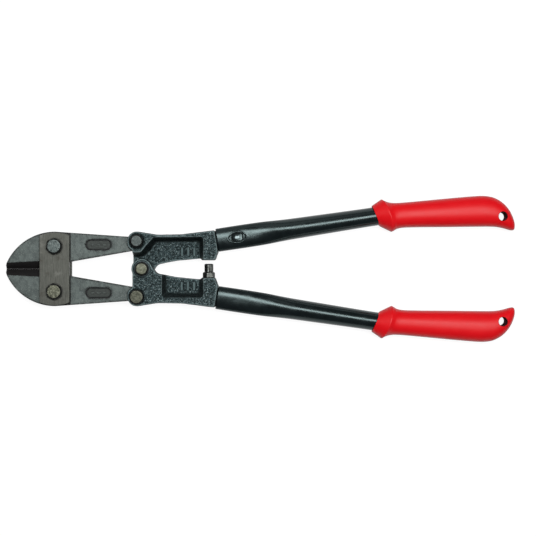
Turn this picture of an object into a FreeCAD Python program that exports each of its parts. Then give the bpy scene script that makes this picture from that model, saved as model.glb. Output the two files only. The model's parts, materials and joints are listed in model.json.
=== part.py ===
"""Bolt cutters, 450 mm class: a clipper-cut head between two side plates, two forged arms, tube handles.

Units are millimetres.  The tool lies on its back: +X runs from the jaws to the grips, +Y is the upper
handle's side, +Z points out of the front face.  Everything is built round the centre bolt's axis at the
middle of the thickness, and is moved at the end so that the origin is under the middle of the tool.
"""
import FreeCAD
import Part
import math
import os
from FreeCAD import Vector

# ---------------------------------------------------------------- linkage, measured from the centre bolt
jaw_pivot_x = -78.2
jaw_pivot_y = 20.3
tail_pivot_x = -4.5
tail_pivot_y = 25.0
handle_travel_deg = 50.0         # how far a handle turns on its jaw's tail
jaw_turn_ratio = 0.136           # jaw turn for each degree of that, the way the tail bolts draw together

# ---------------------------------------------------------------- clearances
edge_gap = 0.03                  # between the closed cutting edges
side_gap = 0.15                  # between faces that slide on each other
pin_gap = 0.06                   # round a bolt that a moving piece turns on
seat_gap = 0.03                  # round a bolt or tang in a piece that doesn't turn on it
swing_gap = 0.5                  # between a jaw's tail and the fork that it swings in
over_cut = 1.0                   # how far a cut runs past the face that it leaves by

# ---------------------------------------------------------------- jaws
jaw_thickness = 10.0
nose_radius = 47.9
nose_drop = 14.4                 # the nose arc's centre lies this far beyond the middle line
nose_flat = 1.2                  # how far the closed nose is blunted
blade_length = 35.0              # cutting edge, from the nose back to its relief
bevel_at_nose = 5.4
bevel_at_heel = 7.3
edge_land = 0.5
heel_x = -62.5                   # where the relief behind the edge meets the tail's inner edge
heel_y = 6.9
tail_radius = 7.9
tail_back_rise = 3.9             # the tail's outer edge runs in this far beyond its bolt
tail_back_deg = 95.0             # the way the tail's back faces, seen from its bolt
tail_back_ease_deg = 8.6         # the fork's wall starts this much earlier round the bolt
pocket_length = 23.4
pocket_width = 9.9
pocket_depth = 0.9
pocket_x = -39.2
pocket_y = 21.6
pocket_groove = 1.3
pip_length = 3.2
pip_width = 1.3
pip_pitch = 5.2
pip_height = 0.45

# ---------------------------------------------------------------- side plates
plate_thickness = 4.5
plate_width = 26.8
plate_half_length = 32.75
plate_end_radius = 36.0
plate_edge = 0.5
plate_corner_radius = 2.0

# ---------------------------------------------------------------- forged arms
cheek_thickness = 4.3
tail_ear_radius = 8.5
centre_ear_radius = 9.3
lap_gap = 0.3                    # between the two arms where one crosses the other
arm_edge = 1.3
ear_ease = 0.1                   # how far the tail ear's corner stays short of a half circle
ear_reach = 1.4                  # the tail ear's flat top runs this far past its bolt
ear_radius = 8.0
toe_share = 0.62                 # the fork's toe starts at this share of the ear's radius
toe_radius = 5.0
waist_x = -8.4                   # the arm's outer edge between its two ears
waist_radius = 3.0
back_dip_x = 14.0                # lowest place of the arm's back
back_dip_y = 30.7
back_dip_radius = 30.0
back_rise_x = 36.0               # where the back starts to rise to the shoulder
back_rise_y = 31.1
back_rise_radius = 40.0
belly_x = 30.0                   # highest place of the arm's inner edge
belly_y = 7.2
belly_radius = 60.0
crotch_x = 13.3                  # where the inner edge turns into the centre ear
crotch_y = 3.9
crotch_radius = 6.0
spotface_margin = 0.2            # beyond the nut's corners
spotface_depth = 0.7
centre_recess_depth = 1.5        # sinks the centre bolt's washer into its arm
step_distance = 11.9             # from the centre bolt to the foot of the step that the other arm clears
wall_draft = 3.0                 # how much a forged pocket wall leans back over its height
step_fall = 1.0                  # the step's foot falls this far towards the fork
step_end_x = -0.8
step_radius = 3.0
neck_x = 5.4                     # where the pocket's wall turns up past the other arm's ear
neck_y = 16.6
neck_radius = 6.0
neck_lean = 1.4                  # how much more that corner leans back than a straight wall
throat_x = 11.8                  # where the pocket's wall meets the rim
side_lean = 0.5                  # share of the lean that the walls beside the ear take
rim_inner_y = 25.1
rim_rise = 0.6                   # how much the rim rises towards the shoulder
rim_radius = 3.0
pocket_wall_radius = 2.6
pocket_wall_run = 1.2            # from the top of the boss's wall to its foot
pocket_reach = 30.0              # how far the pocket's open side runs out of the arm
boss_left_x = 53.9
boss_right_x = 65.8
boss_inner_y = 7.8
boss_heel = 1.6                  # sloping foot beside the boss
boss_heel_radius = 1.4
boss_near_radius = 1.0
boss_far_radius = 1.5
shoulder_top_x = 65.4
shoulder_top_y = 34.8
shoulder_top_radius = 1.5
shoulder_low_x = 68.6
shoulder_low_y = 15.5
shoulder_low_radius = 1.0
back_pocket_left_x = 21.0
back_pocket_depth = 4.6
back_pocket_top_y = 22.8
pocket_to_boss = 0.4
back_pocket_radius = 3.0
mark_bar_y = 15.5
mark_bar_shift = 4.0             # towards the boss from the pocket's middle
mark_bar_height = 0.7
mark_bar_width = 2.0
mark_bar_length = 8.0
mark_bar_pitch = 5.6
mark_bar_count = 3

# ---------------------------------------------------------------- tubes and grips
handle_angle_deg = 8.6
tube_start_x = 67.3
tube_start_y = 25.85
tube_wall = 1.8
tube_radius = 8.4
tube_bend_start = 150.0          # along the tube, from its mouth
tube_bend_radius = 100.0
tube_bend_deg = 7.4
tube_tail_length = 74.0
tang_length = 34.0
tang_root = 6.0                  # how far the tang runs back into its arm
tang_gap = 0.2
# sections of the tube: distance from its mouth, half width, half thickness, squareness
tube_sections = [
    (0.0, 10.5, 5.4, 2.5),
    (14.0, 10.6, 5.4, 2.5),
    (28.0, 10.6, 5.4, 2.5),
    (38.0, 10.5, 5.4, 2.5),
    (46.0, 10.3, 5.9, 2.4),
    (56.0, 9.8, 7.2, 2.2),
    (66.0, 9.45, 8.3, 2.1),
    (80.0, 9.2, 8.8, 2.0),
    (108.0, 8.8, 8.7, 2.0),
    (139.0, tube_radius, tube_radius, 2.0),
]
crimp_x = 18.5                   # along the tube, from its mouth
crimp_length = 15.2
crimp_width = 9.0
crimp_depth = 0.45
slot_length = 7.0
slot_width = 6.0
slot_depth = 1.1
key_length = 5.4
key_width = 4.2
key_height = 1.1
# sections of the grip: outer point and inner point from the tube's end, half thickness, squareness
grip_sections = [
    ((-95.7, 5.9), (-88.4, -12.6), 9.9, 2.0),
    ((-86.9, 11.9), (-77.9, -17.6), 14.6, 2.1),
    ((-81.5, 9.5), (-73.5, -15.3), 12.9, 2.2),
    ((-73.5, 8.6), (-68.5, -13.9), 12.2, 2.3),
    ((-35.0, 12.0), (-33.5, -13.2), 12.3, 2.3),
    ((0.9, 15.0), (0.9, -12.9), 12.5, 2.3),
    ((14.0, 13.3), (15.0, -12.9), 12.2, 2.3),
    ((22.2, 8.6), (22.9, -14.5), 11.2, 2.3),
    ((27.4, 2.9), (27.9, -15.7), 9.4, 2.2),
    ((30.9, -3.6), (31.2, -15.3), 6.8, 2.1),
    ((33.0, -8.3), (33.1, -12.9), 2.6, 2.0),
]
hang_hole_radius = 4.1
hang_hole_past_tube = 21.3       # from the tube's end
hang_hole_drop = 3.7             # from the tube's axis towards the other handle

# ---------------------------------------------------------------- fasteners
hex_chamfer_deg = 30.0
hex_top_share = 0.87             # the round top of a hexagon, as a share of its flats
bolt_chamfer = 0.6
jaw_bolt_radius = 4.0
jaw_head_flats = 13.0
jaw_head_height = 5.3
lock_washer_radius = 7.2
lock_washer_thickness = 1.5
pivot_bolt_radius = 4.0
pivot_head_flats = 10.8
pivot_head_height = 4.6
low_tail_head_flats = 12.4
nut_flats = 13.0
nut_height = 4.0
bolt_end = 0.4                   # how far a bolt stands out of its nut
centre_washer_radius = 8.6
centre_washer_thickness = 1.2
stop_screw_x = 59.9
stop_screw_radius = 3.0
stop_screw_depth = 13.0
stop_head_flats = 7.4
stop_head_height = 7.4
stop_nut_flats = 10.0
stop_nut_height = 5.0
bore_under_screw = 3.0           # how much deeper the tapped hole is than the screw
upper_jaw_bolt_turn_deg = 20     # how each hexagon happened to stop when it was tightened
lower_jaw_bolt_turn_deg = 34
jaw_nut_turn_deg = 10
upper_tail_bolt_turn_deg = 12
lower_tail_bolt_turn_deg = 40
centre_bolt_turn_deg = 25
nut_turn_deg = 15
stop_head_turn_deg = 20
stop_nut_turn_deg = 16

# ---------------------------------------------------------------- worked out from the above
half_jaw = jaw_thickness / 2
plate_inner_z = half_jaw + side_gap
plate_outer_z = plate_inner_z + plate_thickness
cheek_inner_z = half_jaw + side_gap
arm_half = cheek_inner_z + cheek_thickness
edge_y = edge_gap / 2
lap_z = lap_gap / 2
nose_x = jaw_pivot_x - math.sqrt(nose_radius ** 2 - (edge_y + nose_drop) ** 2) + nose_flat
blade_end_x = nose_x + blade_length
boss_wall_x = boss_left_x - pocket_to_boss
spotface_radius = nut_flats / math.sqrt(3) + spotface_margin
washer_back_z = plate_outer_z + lock_washer_thickness
rest_z = washer_back_z + nut_height + bolt_end
through = 200.0                  # longer than any cut needs
loft_degree = 3                  # keeps a lofted skin from swelling between its sections
end_rounding = 0.92              # how nearly a slot's ends are half circles
ring_points = 24                 # points that a section's curve runs through
wander_steps = 50                # poses looked at over the handles' travel


def centre_wander():
    """How far the two arms' centre holes part over the travel, when the jaws turn at a steady ratio."""
    jaw_arm = math.hypot(tail_pivot_x - jaw_pivot_x, tail_pivot_y - jaw_pivot_y)
    jaw_angle = math.atan2(tail_pivot_y - jaw_pivot_y, tail_pivot_x - jaw_pivot_x)
    short_arm = math.hypot(tail_pivot_x, tail_pivot_y)
    short_angle = math.atan2(-tail_pivot_y, -tail_pivot_x)
    widest = 0.0
    for step in range(wander_steps + 1):
        turn = math.radians(handle_travel_deg * step / wander_steps)
        jaw_turn = turn * jaw_turn_ratio
        tail_y = jaw_pivot_y + jaw_arm * math.sin(jaw_angle - jaw_turn)
        hole_y = tail_y + short_arm * math.sin(short_angle + turn - jaw_turn)
        widest = max(widest, abs(2 * hole_y))
    return widest


# ---------------------------------------------------------------- shape helpers
def rounded_wire(corners, z):
    """Closed wire through (x, y, radius) corners at height z, each corner rounded to its radius."""
    edges = []
    arcs = []
    count = len(corners)
    for index in range(count):
        x, y, radius = corners[index]
        here = Vector(x, y, z)
        before = Vector(corners[index - 1][0], corners[index - 1][1], z)
        after = Vector(corners[(index + 1) % count][0], corners[(index + 1) % count][1], z)
        if radius == 0:
            arcs.append((here, here, here))
            continue
        back = (before - here).normalize()
        ahead = (after - here).normalize()
        half = back.getAngle(ahead) / 2
        reach = radius / math.tan(half)
        middle = (back + ahead).normalize()
        hub = here + middle * (radius / math.sin(half))
        arcs.append((here + back * reach, hub - middle * radius, here + ahead * reach))
    for index in range(count):
        start, middle, end = arcs[index]
        if start != end:
            edges.append(Part.Arc(start, middle, end).toShape())
        following = arcs[(index + 1) % count][0]
        if (following - end).Length > 1e-6:
            edges.append(Part.LineSegment(end, following).toShape())
    return Part.Wire(edges)


def slab(corners, low_z, high_z):
    """Rounded polygon extruded from low_z to high_z."""
    return Part.Face(rounded_wire(corners, low_z)).extrude(Vector(0, 0, high_z - low_z))


def drafted(top, floor, top_z, floor_z):
    """Solid between two rounded polygons of as many corners, for a pocket whose walls lean."""
    return Part.makeLoft([rounded_wire(floor, floor_z), rounded_wire(top, top_z)], True, True)


def drum(radius, low_z, high_z, x, y):
    """Upright cylinder."""
    return Part.makeCylinder(radius, high_z - low_z, Vector(x, y, low_z))


def stadium(x, y, length, width):
    """Corners of a round-ended slot."""
    a = length / 2
    b = width / 2
    radius = min(a, b) * end_rounding
    return [(x - a, y - b, radius), (x + a, y - b, radius), (x + a, y + b, radius), (x - a, y + b, radius)]


def hexagon(flats, height, turn_deg):
    """Hex prism on z = 0, its corners cut back by a cone on the top."""
    radius = flats / math.sqrt(3)
    points = []
    for side in range(7):
        angle = math.radians(turn_deg + 60 * side)
        points.append(Vector(radius * math.cos(angle), radius * math.sin(angle), 0))
    prism = Part.Face(Part.makePolygon(points)).extrude(Vector(0, 0, height))
    top = flats / 2 * hex_top_share
    cone = Part.makeCone(top + height / math.tan(math.radians(hex_chamfer_deg)), top, height)
    return prism.common(cone)


def bolt(x, y, radius, flats, head_height, head_z, end_z, turn_deg):
    """Hex bolt that points down from the face at head_z to end_z, its end chamfered."""
    head = hexagon(flats, head_height, turn_deg).translate(Vector(x, y, head_z))
    shank = drum(radius, end_z + bolt_chamfer, head_z, x, y)
    tip = Part.makeCone(radius - bolt_chamfer, radius, bolt_chamfer, Vector(x, y, end_z))
    return head.fuse([shank, tip]).removeSplitter()


def nut(x, y, bore, flats, height, seat_z, turn_deg):
    """Hex nut that hangs under the face at seat_z."""
    body = hexagon(flats, height, turn_deg)
    body.rotate(Vector(0, 0, 0), Vector(1, 0, 0), 180)
    body.translate(Vector(x, y, seat_z))
    return body.cut(drum(bore, seat_z - height - over_cut, seat_z + over_cut, x, y))


def ring(x, y, inner, outer, low_z, high_z):
    """Flat washer."""
    return drum(outer, low_z, high_z, x, y).cut(drum(inner, low_z - over_cut, high_z + over_cut, x, y))


def oval_wire(centre, across, up, half_width, half_height, power):
    """Closed smooth curve: a superellipse in the plane of the directions across and up."""
    points = []
    for step in range(ring_points):
        angle = 2 * math.pi * (step + 0.5) / ring_points
        c = math.cos(angle)
        s = math.sin(angle)
        u = half_width * math.copysign(abs(c) ** (2 / power), c)
        v = half_height * math.copysign(abs(s) ** (2 / power), s)
        points.append(centre + across * u + up * v)
    curve = Part.BSplineCurve()
    curve.interpolate(points, PeriodicFlag=True)
    return Part.Wire([curve.toShape()])


def flipped(shape):
    """The lower half's copy: turned half a turn about the tool's middle line."""
    copy = shape.copy()
    copy.rotate(Vector(0, 0, 0), Vector(1, 0, 0), 180)
    return copy


def mirrored(shape):
    """The lower half's copy of a piece that has the same front and back."""
    return shape.mirror(Vector(0, 0, 0), Vector(0, 1, 0))


# ---------------------------------------------------------------- head
def jaw_blank():
    """Upper jaw's outline: nose arc, outer edge, round tail, inner edge, relief and cutting line."""
    arc_x = jaw_pivot_x
    arc_y = -nose_drop
    top = Vector(arc_x, arc_y + nose_radius, 0)
    blunt_angle = math.acos((nose_x - arc_x) / nose_radius)
    blunt = Vector(nose_x, arc_y + nose_radius * math.sin(blunt_angle), 0)
    nose = Vector(nose_x, edge_y, 0)
    lift = (blunt_angle + math.pi / 2) / 2
    shoulder = Vector(arc_x + nose_radius * math.cos(lift), arc_y + nose_radius * math.sin(lift), 0)
    tail = Vector(tail_pivot_x, tail_pivot_y, 0)
    enter = math.pi - math.asin(tail_back_rise / tail_radius)
    outer = tail + Vector(math.cos(enter), math.sin(enter), 0) * tail_radius
    heel = Vector(heel_x, heel_y, 0)
    reach = tail - heel
    leave = math.atan2(reach.y, reach.x) - math.asin(tail_radius / reach.Length) - math.pi / 2
    inner = tail + Vector(math.cos(leave), math.sin(leave), 0) * tail_radius
    far = tail + Vector(math.cos((enter + leave) / 2), math.sin((enter + leave) / 2), 0) * tail_radius
    edge_end = Vector(blade_end_x, edge_y, 0)
    wire = Part.Wire([
        Part.LineSegment(nose, blunt).toShape(),
        Part.Arc(blunt, shoulder, top).toShape(),
        Part.LineSegment(top, outer).toShape(),
        Part.Arc(outer, far, inner).toShape(),
        Part.LineSegment(inner, heel).toShape(),
        Part.LineSegment(heel, edge_end).toShape(),
        Part.LineSegment(edge_end, nose).toShape(),
    ])
    blank = Part.Face(wire).extrude(Vector(0, 0, jaw_thickness))
    blank.translate(Vector(0, 0, -half_jaw))
    return blank


def bevel_cutter(side):
    """Wedge that grinds one face of the upper jaw down to its cutting edge."""
    sections = []
    for x, width in ((nose_x - over_cut, bevel_at_nose), (blade_end_x, bevel_at_heel)):
        land = side * edge_land / 2
        face = side * half_jaw
        over = side * (half_jaw + over_cut)
        over_y = edge_y + width + over_cut * width / (half_jaw - edge_land / 2)
        sections.append(Part.makePolygon([
            Vector(x, -over_cut, land),
            Vector(x, edge_y, land),
            Vector(x, edge_y + width, face),
            Vector(x, over_y, over),
            Vector(x, -over_cut, over),
            Vector(x, -over_cut, land),
        ]))
    return Part.makeLoft(sections, True, True)


def jaw_pocket(side):
    """Shallow round-ended pocket with a deeper groove round it and plain raised bars on its floor."""
    face = side * half_jaw
    floor = side * (half_jaw - pocket_depth)
    deep = side * (half_jaw - pocket_depth - pip_height)
    outline = stadium(pocket_x, pocket_y, pocket_length, pocket_width)
    island = stadium(pocket_x, pocket_y, pocket_length - 2 * pocket_groove, pocket_width - 2 * pocket_groove)
    above = face + side * over_cut
    cut = slab(outline, min(above, deep), max(above, deep))
    stay = slab(island, min(floor, deep), max(floor, deep))
    cut = cut.cut(stay)
    for step in (-1, 0, 1):
        bar = stadium(pocket_x + step * pip_pitch, pocket_y, pip_length, pip_width)
        top = side * (half_jaw - pocket_depth + pip_height)
        cut = cut.cut(slab(bar, min(floor, top), max(floor, top)))
    return cut


def upper_jaw():
    """Jaw with its ground edge, its pockets and the two holes that it turns on."""
    jaw = jaw_blank()
    for side in (1, -1):
        jaw = jaw.cut(bevel_cutter(side))
        jaw = jaw.cut(jaw_pocket(side))
    jaw = jaw.cut(drum(jaw_bolt_radius + pin_gap, -through, through, jaw_pivot_x, jaw_pivot_y))
    return jaw.cut(drum(pivot_bolt_radius + pin_gap, -through, through, tail_pivot_x, tail_pivot_y))


def side_plate(side):
    """Front or rear plate that carries both jaw bolts, its ends arched like the jaws' backs."""
    half = plate_width / 2
    corner_y = plate_half_length - plate_end_radius + math.sqrt(plate_end_radius ** 2 - half ** 2)
    x = jaw_pivot_x
    wire = Part.Wire([
        Part.Arc(Vector(x + half, corner_y, 0), Vector(x, plate_half_length, 0),
                 Vector(x - half, corner_y, 0)).toShape(),
        Part.LineSegment(Vector(x - half, corner_y, 0), Vector(x - half, -corner_y, 0)).toShape(),
        Part.Arc(Vector(x - half, -corner_y, 0), Vector(x, -plate_half_length, 0),
                 Vector(x + half, -corner_y, 0)).toShape(),
        Part.LineSegment(Vector(x + half, -corner_y, 0), Vector(x + half, corner_y, 0)).toShape(),
    ])
    plate = Part.Face(wire).extrude(Vector(0, 0, plate_thickness))
    upright = [edge for edge in plate.Edges if edge.BoundBox.ZLength > plate_thickness / 2]
    plate = plate.makeFillet(plate_corner_radius, upright)
    rims = [edge for edge in plate.Edges if edge.BoundBox.ZMin > plate_thickness / 2]
    plate = plate.makeFillet(plate_edge, rims)
    for y in (jaw_pivot_y, -jaw_pivot_y):
        plate = plate.cut(drum(jaw_bolt_radius + seat_gap, -over_cut, plate_thickness + over_cut, x, y))
    plate.translate(Vector(0, 0, plate_inner_z))
    if side < 0:
        plate = flipped(plate)
    return plate


# ---------------------------------------------------------------- arms
def arm_outline():
    """Corners of the forged arm seen from its front, without its centre ear."""
    left = tail_pivot_x - tail_ear_radius
    top = tail_pivot_y + tail_ear_radius
    far = math.hypot(crotch_x, crotch_y)
    touch = math.atan2(crotch_y, crotch_x) - math.acos(centre_ear_radius / far)
    return [
        (left, top, tail_ear_radius - ear_ease),
        (tail_pivot_x + ear_reach, top, ear_radius),
        (back_dip_x, back_dip_y, back_dip_radius),
        (back_rise_x, back_rise_y, back_rise_radius),
        (shoulder_top_x, shoulder_top_y, shoulder_top_radius),
        (shoulder_low_x, shoulder_low_y, shoulder_low_radius),
        (boss_right_x, boss_inner_y, boss_far_radius),
        (boss_left_x, boss_inner_y, boss_near_radius),
        (boss_left_x - boss_heel, boss_inner_y + boss_heel, boss_heel_radius),
        (belly_x, belly_y, belly_radius),
        (crotch_x, crotch_y, crotch_radius),
        (centre_ear_radius * math.cos(touch), centre_ear_radius * math.sin(touch), 0),
        (waist_x, 0, 0),
        (waist_x, tail_pivot_y - tail_ear_radius, waist_radius),
        (left, tail_pivot_y - toe_share * tail_ear_radius, toe_radius),
    ]


def front_pocket(grow):
    """Corners of the front pocket: the step round the other arm's ear, the rim and the boss wall."""
    low_y = step_distance + grow
    rim_y = rim_inner_y + grow
    boss_x = boss_wall_x - pocket_wall_run + grow
    return [
        (-pocket_reach, low_y - step_fall, 0),
        (step_end_x, low_y, step_radius),
        (neck_x - side_lean * grow, neck_y + neck_lean * grow, neck_radius),
        (throat_x - side_lean * grow, rim_y, rim_radius),
        (boss_x, rim_y + rim_rise, pocket_wall_radius),
        (boss_x, -pocket_reach, 0),
        (-pocket_reach, -pocket_reach, 0),
    ]


def back_pocket(grow):
    """Corners of the shallower back pocket, open to the arm's inner edge."""
    right = boss_wall_x - pocket_wall_run + grow
    return [
        (back_pocket_left_x - grow, 0, 0),
        (back_pocket_left_x - grow, back_pocket_top_y + grow, back_pocket_radius),
        (right, back_pocket_top_y + grow, back_pocket_radius),
        (right, 0, 0),
    ]


def fork_slot():
    """Room for the jaw's tail inside the fork, from the closed pose to the handles' full travel."""
    room = tail_radius + swing_gap
    rest = math.atan2(tail_pivot_y - heel_y, tail_pivot_x - heel_x)
    rest -= math.asin(tail_radius / math.hypot(tail_pivot_x - heel_x, tail_pivot_y - heel_y))
    swung = math.radians(tail_back_deg - handle_travel_deg)
    start = swung - math.radians(tail_back_ease_deg)
    foot = (tail_pivot_x + room * math.sin(rest), tail_pivot_y - room * math.cos(rest))
    back = (tail_pivot_x + room * math.cos(start), tail_pivot_y + room * math.sin(start))
    corners = [
        (tail_pivot_x, tail_pivot_y, 0),
        (foot[0], foot[1], 0),
        (foot[0] - through * math.cos(rest), foot[1] - through * math.sin(rest), 0),
        (foot[0] - through * math.cos(rest), tail_pivot_y + through, 0),
        (back[0] - through * math.sin(swung), back[1] + through * math.cos(swung), 0),
        (back[0], back[1], 0),
    ]
    slot = slab(corners, -cheek_inner_z, cheek_inner_z)
    return slot.fuse(drum(room, -cheek_inner_z, cheek_inner_z, tail_pivot_x, tail_pivot_y))


def on_tube(distance):
    """Point on the straight part of the upper tube's axis, this far from its mouth."""
    angle = math.radians(handle_angle_deg)
    return Vector(tube_start_x + distance * math.cos(angle), tube_start_y + distance * math.sin(angle), 0)


def across_tube():
    """Direction across the upper tube, in the tool's plane."""
    angle = math.radians(handle_angle_deg)
    return Vector(-math.sin(angle), math.cos(angle), 0)


def along_tube():
    """Direction of the straight part of the upper tube."""
    angle = math.radians(handle_angle_deg)
    return Vector(math.cos(angle), math.sin(angle), 0)


def arm(centre_hole):
    """Forged arm: fork, half-thick lap at the centre bolt, pockets on both faces, boss and tang."""
    blank = slab(arm_outline(), -arm_half, arm_half)
    blank = blank.fuse(drum(centre_ear_radius, -arm_half, arm_half, 0, 0)).removeSplitter()
    rims = [edge for edge in blank.Edges if edge.BoundBox.ZLength < arm_half]
    blank = blank.makeFillet(arm_edge, rims)
    top_z = arm_half + over_cut
    lean = wall_draft * top_z / arm_half
    blank = blank.cut(drafted(front_pocket(lean), front_pocket(0), top_z, -lap_z))
    floor_z = -arm_half + back_pocket_depth
    lean = wall_draft * (back_pocket_depth + over_cut) / back_pocket_depth
    blank = blank.cut(drafted(back_pocket(lean), back_pocket(0), -top_z, floor_z))
    blank = blank.cut(fork_slot())
    blank = blank.cut(drum(pivot_bolt_radius + seat_gap, -through, through, tail_pivot_x, tail_pivot_y))
    blank = blank.cut(drum(centre_hole, -through, through, 0, 0))
    for low, high in ((arm_half - spotface_depth, top_z), (-top_z, -arm_half + spotface_depth)):
        blank = blank.cut(drum(spotface_radius, low, high, tail_pivot_x, tail_pivot_y))
    _, half_width, half_height, power = tube_sections[0]
    inner = tube_wall + tang_gap
    mouth = oval_wire(on_tube(-tang_root), across_tube(), Vector(0, 0, 1),
                      half_width - inner, half_height - inner, power)
    tang = Part.Face(mouth).extrude(along_tube() * (tang_length + tang_root))
    blank = blank.fuse(tang)
    return blank.fuse(mark_bars()).removeSplitter()


def mark_bars():
    """Plain raised bars on both pocket floors, where such forgings carry raised figures."""
    bars = []
    middle = (back_pocket_left_x + boss_wall_x) / 2 + mark_bar_shift
    for step in range(mark_bar_count):
        x = middle + (step - (mark_bar_count - 1) / 2) * mark_bar_pitch
        corners = stadium(x, mark_bar_y, mark_bar_width, mark_bar_length)
        bars.append(slab(corners, -lap_z - over_cut, -lap_z + mark_bar_height))
        floor_z = -arm_half + back_pocket_depth
        bars.append(slab(corners, floor_z - mark_bar_height, floor_z + over_cut))
    return bars


# ---------------------------------------------------------------- tubes
def tube_solid(shrink):
    """Solid tube outline, its skin moved in by shrink: flattened mouth, taper, bend and straight tail."""
    up = Vector(0, 0, 1)
    wires = []
    for distance, half_width, half_height, power in tube_sections:
        wires.append(oval_wire(on_tube(distance), across_tube(), up,
                               half_width - shrink, half_height - shrink, power))
    front = Part.makeLoft(wires, True, False, False, loft_degree)
    radius = tube_radius - shrink
    taper_end = tube_sections[-1][0]
    straight = Part.Face(wires[-1]).extrude(along_tube() * (tube_bend_start - taper_end))
    bend_point = on_tube(tube_bend_start)
    pivot = bend_point - across_tube() * tube_bend_radius
    disc = Part.Face(oval_wire(bend_point, across_tube(), up, radius, radius, 2.0))
    bend = disc.revolve(pivot, up, -tube_bend_deg)
    tail_face = disc.copy()
    tail_face.rotate(pivot, up, -tube_bend_deg)
    angle = math.radians(handle_angle_deg - tube_bend_deg)
    tail = tail_face.extrude(Vector(math.cos(angle), math.sin(angle), 0) * tube_tail_length)
    return front.fuse([straight, bend, tail])


def turned_slab(length, width, low_z, high_z):
    """Round-ended block set along the upper tube at its crimp."""
    block = slab(stadium(0, 0, length, width), low_z, high_z)
    block.rotate(Vector(0, 0, 0), Vector(0, 0, 1), handle_angle_deg)
    block.translate(on_tube(crimp_x))
    return block


def upper_tube():
    """Handle tube: hollow, flattened over the arm's tang and crimped onto it through the front."""
    tube = tube_solid(0).cut(tube_solid(tube_wall))
    half_height = tube_sections[0][2]
    tube = tube.cut(turned_slab(crimp_length, crimp_width, half_height - crimp_depth, half_height + over_cut))
    floor_z = half_height - crimp_depth - slot_depth
    slot = turned_slab(slot_length, slot_width, floor_z, half_height + over_cut)
    key = turned_slab(key_length, key_width, floor_z, floor_z + key_height)
    return tube.cut(slot.cut(key)).removeSplitter()


# ---------------------------------------------------------------- grips
def tube_end():
    """Middle of the upper tube's far end."""
    end_deg = handle_angle_deg - tube_bend_deg
    before = Vector(math.sin(math.radians(handle_angle_deg)), -math.cos(math.radians(handle_angle_deg)), 0)
    after = Vector(math.sin(math.radians(end_deg)), -math.cos(math.radians(end_deg)), 0)
    tail = Vector(math.cos(math.radians(end_deg)), math.sin(math.radians(end_deg)), 0)
    return on_tube(tube_bend_start) + (before - after) * tube_bend_radius + tail * tube_tail_length


def grip_wire(section):
    """One section of the upper grip, as a closed curve."""
    (outer_x, outer_y), (inner_x, inner_y), half_height, power = section
    middle = Vector((outer_x + inner_x) / 2, (outer_y + inner_y) / 2, 0)
    across = Vector(outer_x - inner_x, outer_y - inner_y, 0)
    half_width = across.Length / 2
    return oval_wire(tube_end() + middle, across.normalize(), Vector(0, 0, 1), half_width, half_height, power)


def grip_end_x():
    """How far back the grips reach."""
    _, (inner_x, _), _, _ = grip_sections[-1]
    return tube_end().x + inner_x


def hang_hole():
    """Middle of the upper grip's hanging hole."""
    return tube_end() + Vector(hang_hole_past_tube, -hang_hole_drop, 0)


def upper_grip():
    """Soft grip: flared collar with a sharp ridge, swelling body, hooked end and hanging hole."""
    wires = [grip_wire(section) for section in grip_sections]
    collar = Part.makeLoft(wires[:2], True, True)
    body = Part.makeLoft(wires[1:], True, False, False, loft_degree)
    grip = collar.fuse(body)
    grip = grip.cut(tube_solid(-seat_gap))
    hole = hang_hole()
    return grip.cut(drum(hang_hole_radius, -through, through, hole.x, hole.y))


# ---------------------------------------------------------------- fasteners
def jaw_bolt(y, turn_deg):
    """Bolt through both plates and one jaw."""
    return bolt(jaw_pivot_x, y, jaw_bolt_radius, jaw_head_flats, jaw_head_height,
                plate_outer_z, -rest_z, turn_deg)


def pivot_bolt(x, y, flats, seat_z, nut_seat_z, turn_deg):
    """Bolt through both cheeks of a fork, or through both arms, down through its nut."""
    end_z = nut_seat_z - nut_height - bolt_end
    return bolt(x, y, pivot_bolt_radius, flats, pivot_head_height, seat_z, end_z, turn_deg)


def stop_piece(shape, y):
    """Set an upright piece on the lower boss, so that it points at the upper boss."""
    shape.rotate(Vector(0, 0, 0), Vector(1, 0, 0), -90)
    shape.translate(Vector(stop_screw_x, y, 0))
    return shape


def stop_screw():
    """Stop screw: its head meets the other arm's boss and sets how far the handles close."""
    head = hexagon(stop_head_flats, stop_head_height, stop_head_turn_deg)
    shank = drum(stop_screw_radius, -stop_nut_height - stop_screw_depth, 0, 0, 0)
    return stop_piece(head.fuse(shank), -boss_inner_y + stop_nut_height)


def stop_locknut():
    """Locknut under the stop screw's head."""
    body = hexagon(stop_nut_flats, stop_nut_height, stop_nut_turn_deg)
    bore = drum(stop_screw_radius + seat_gap, -over_cut, stop_nut_height + over_cut, 0, 0)
    return stop_piece(body.cut(bore), -boss_inner_y)


def stop_bore():
    """Tapped hole in the lower arm's boss."""
    depth = stop_screw_depth + bore_under_screw
    return stop_piece(drum(stop_screw_radius + seat_gap, -depth, over_cut, 0, 0), -boss_inner_y)


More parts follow.
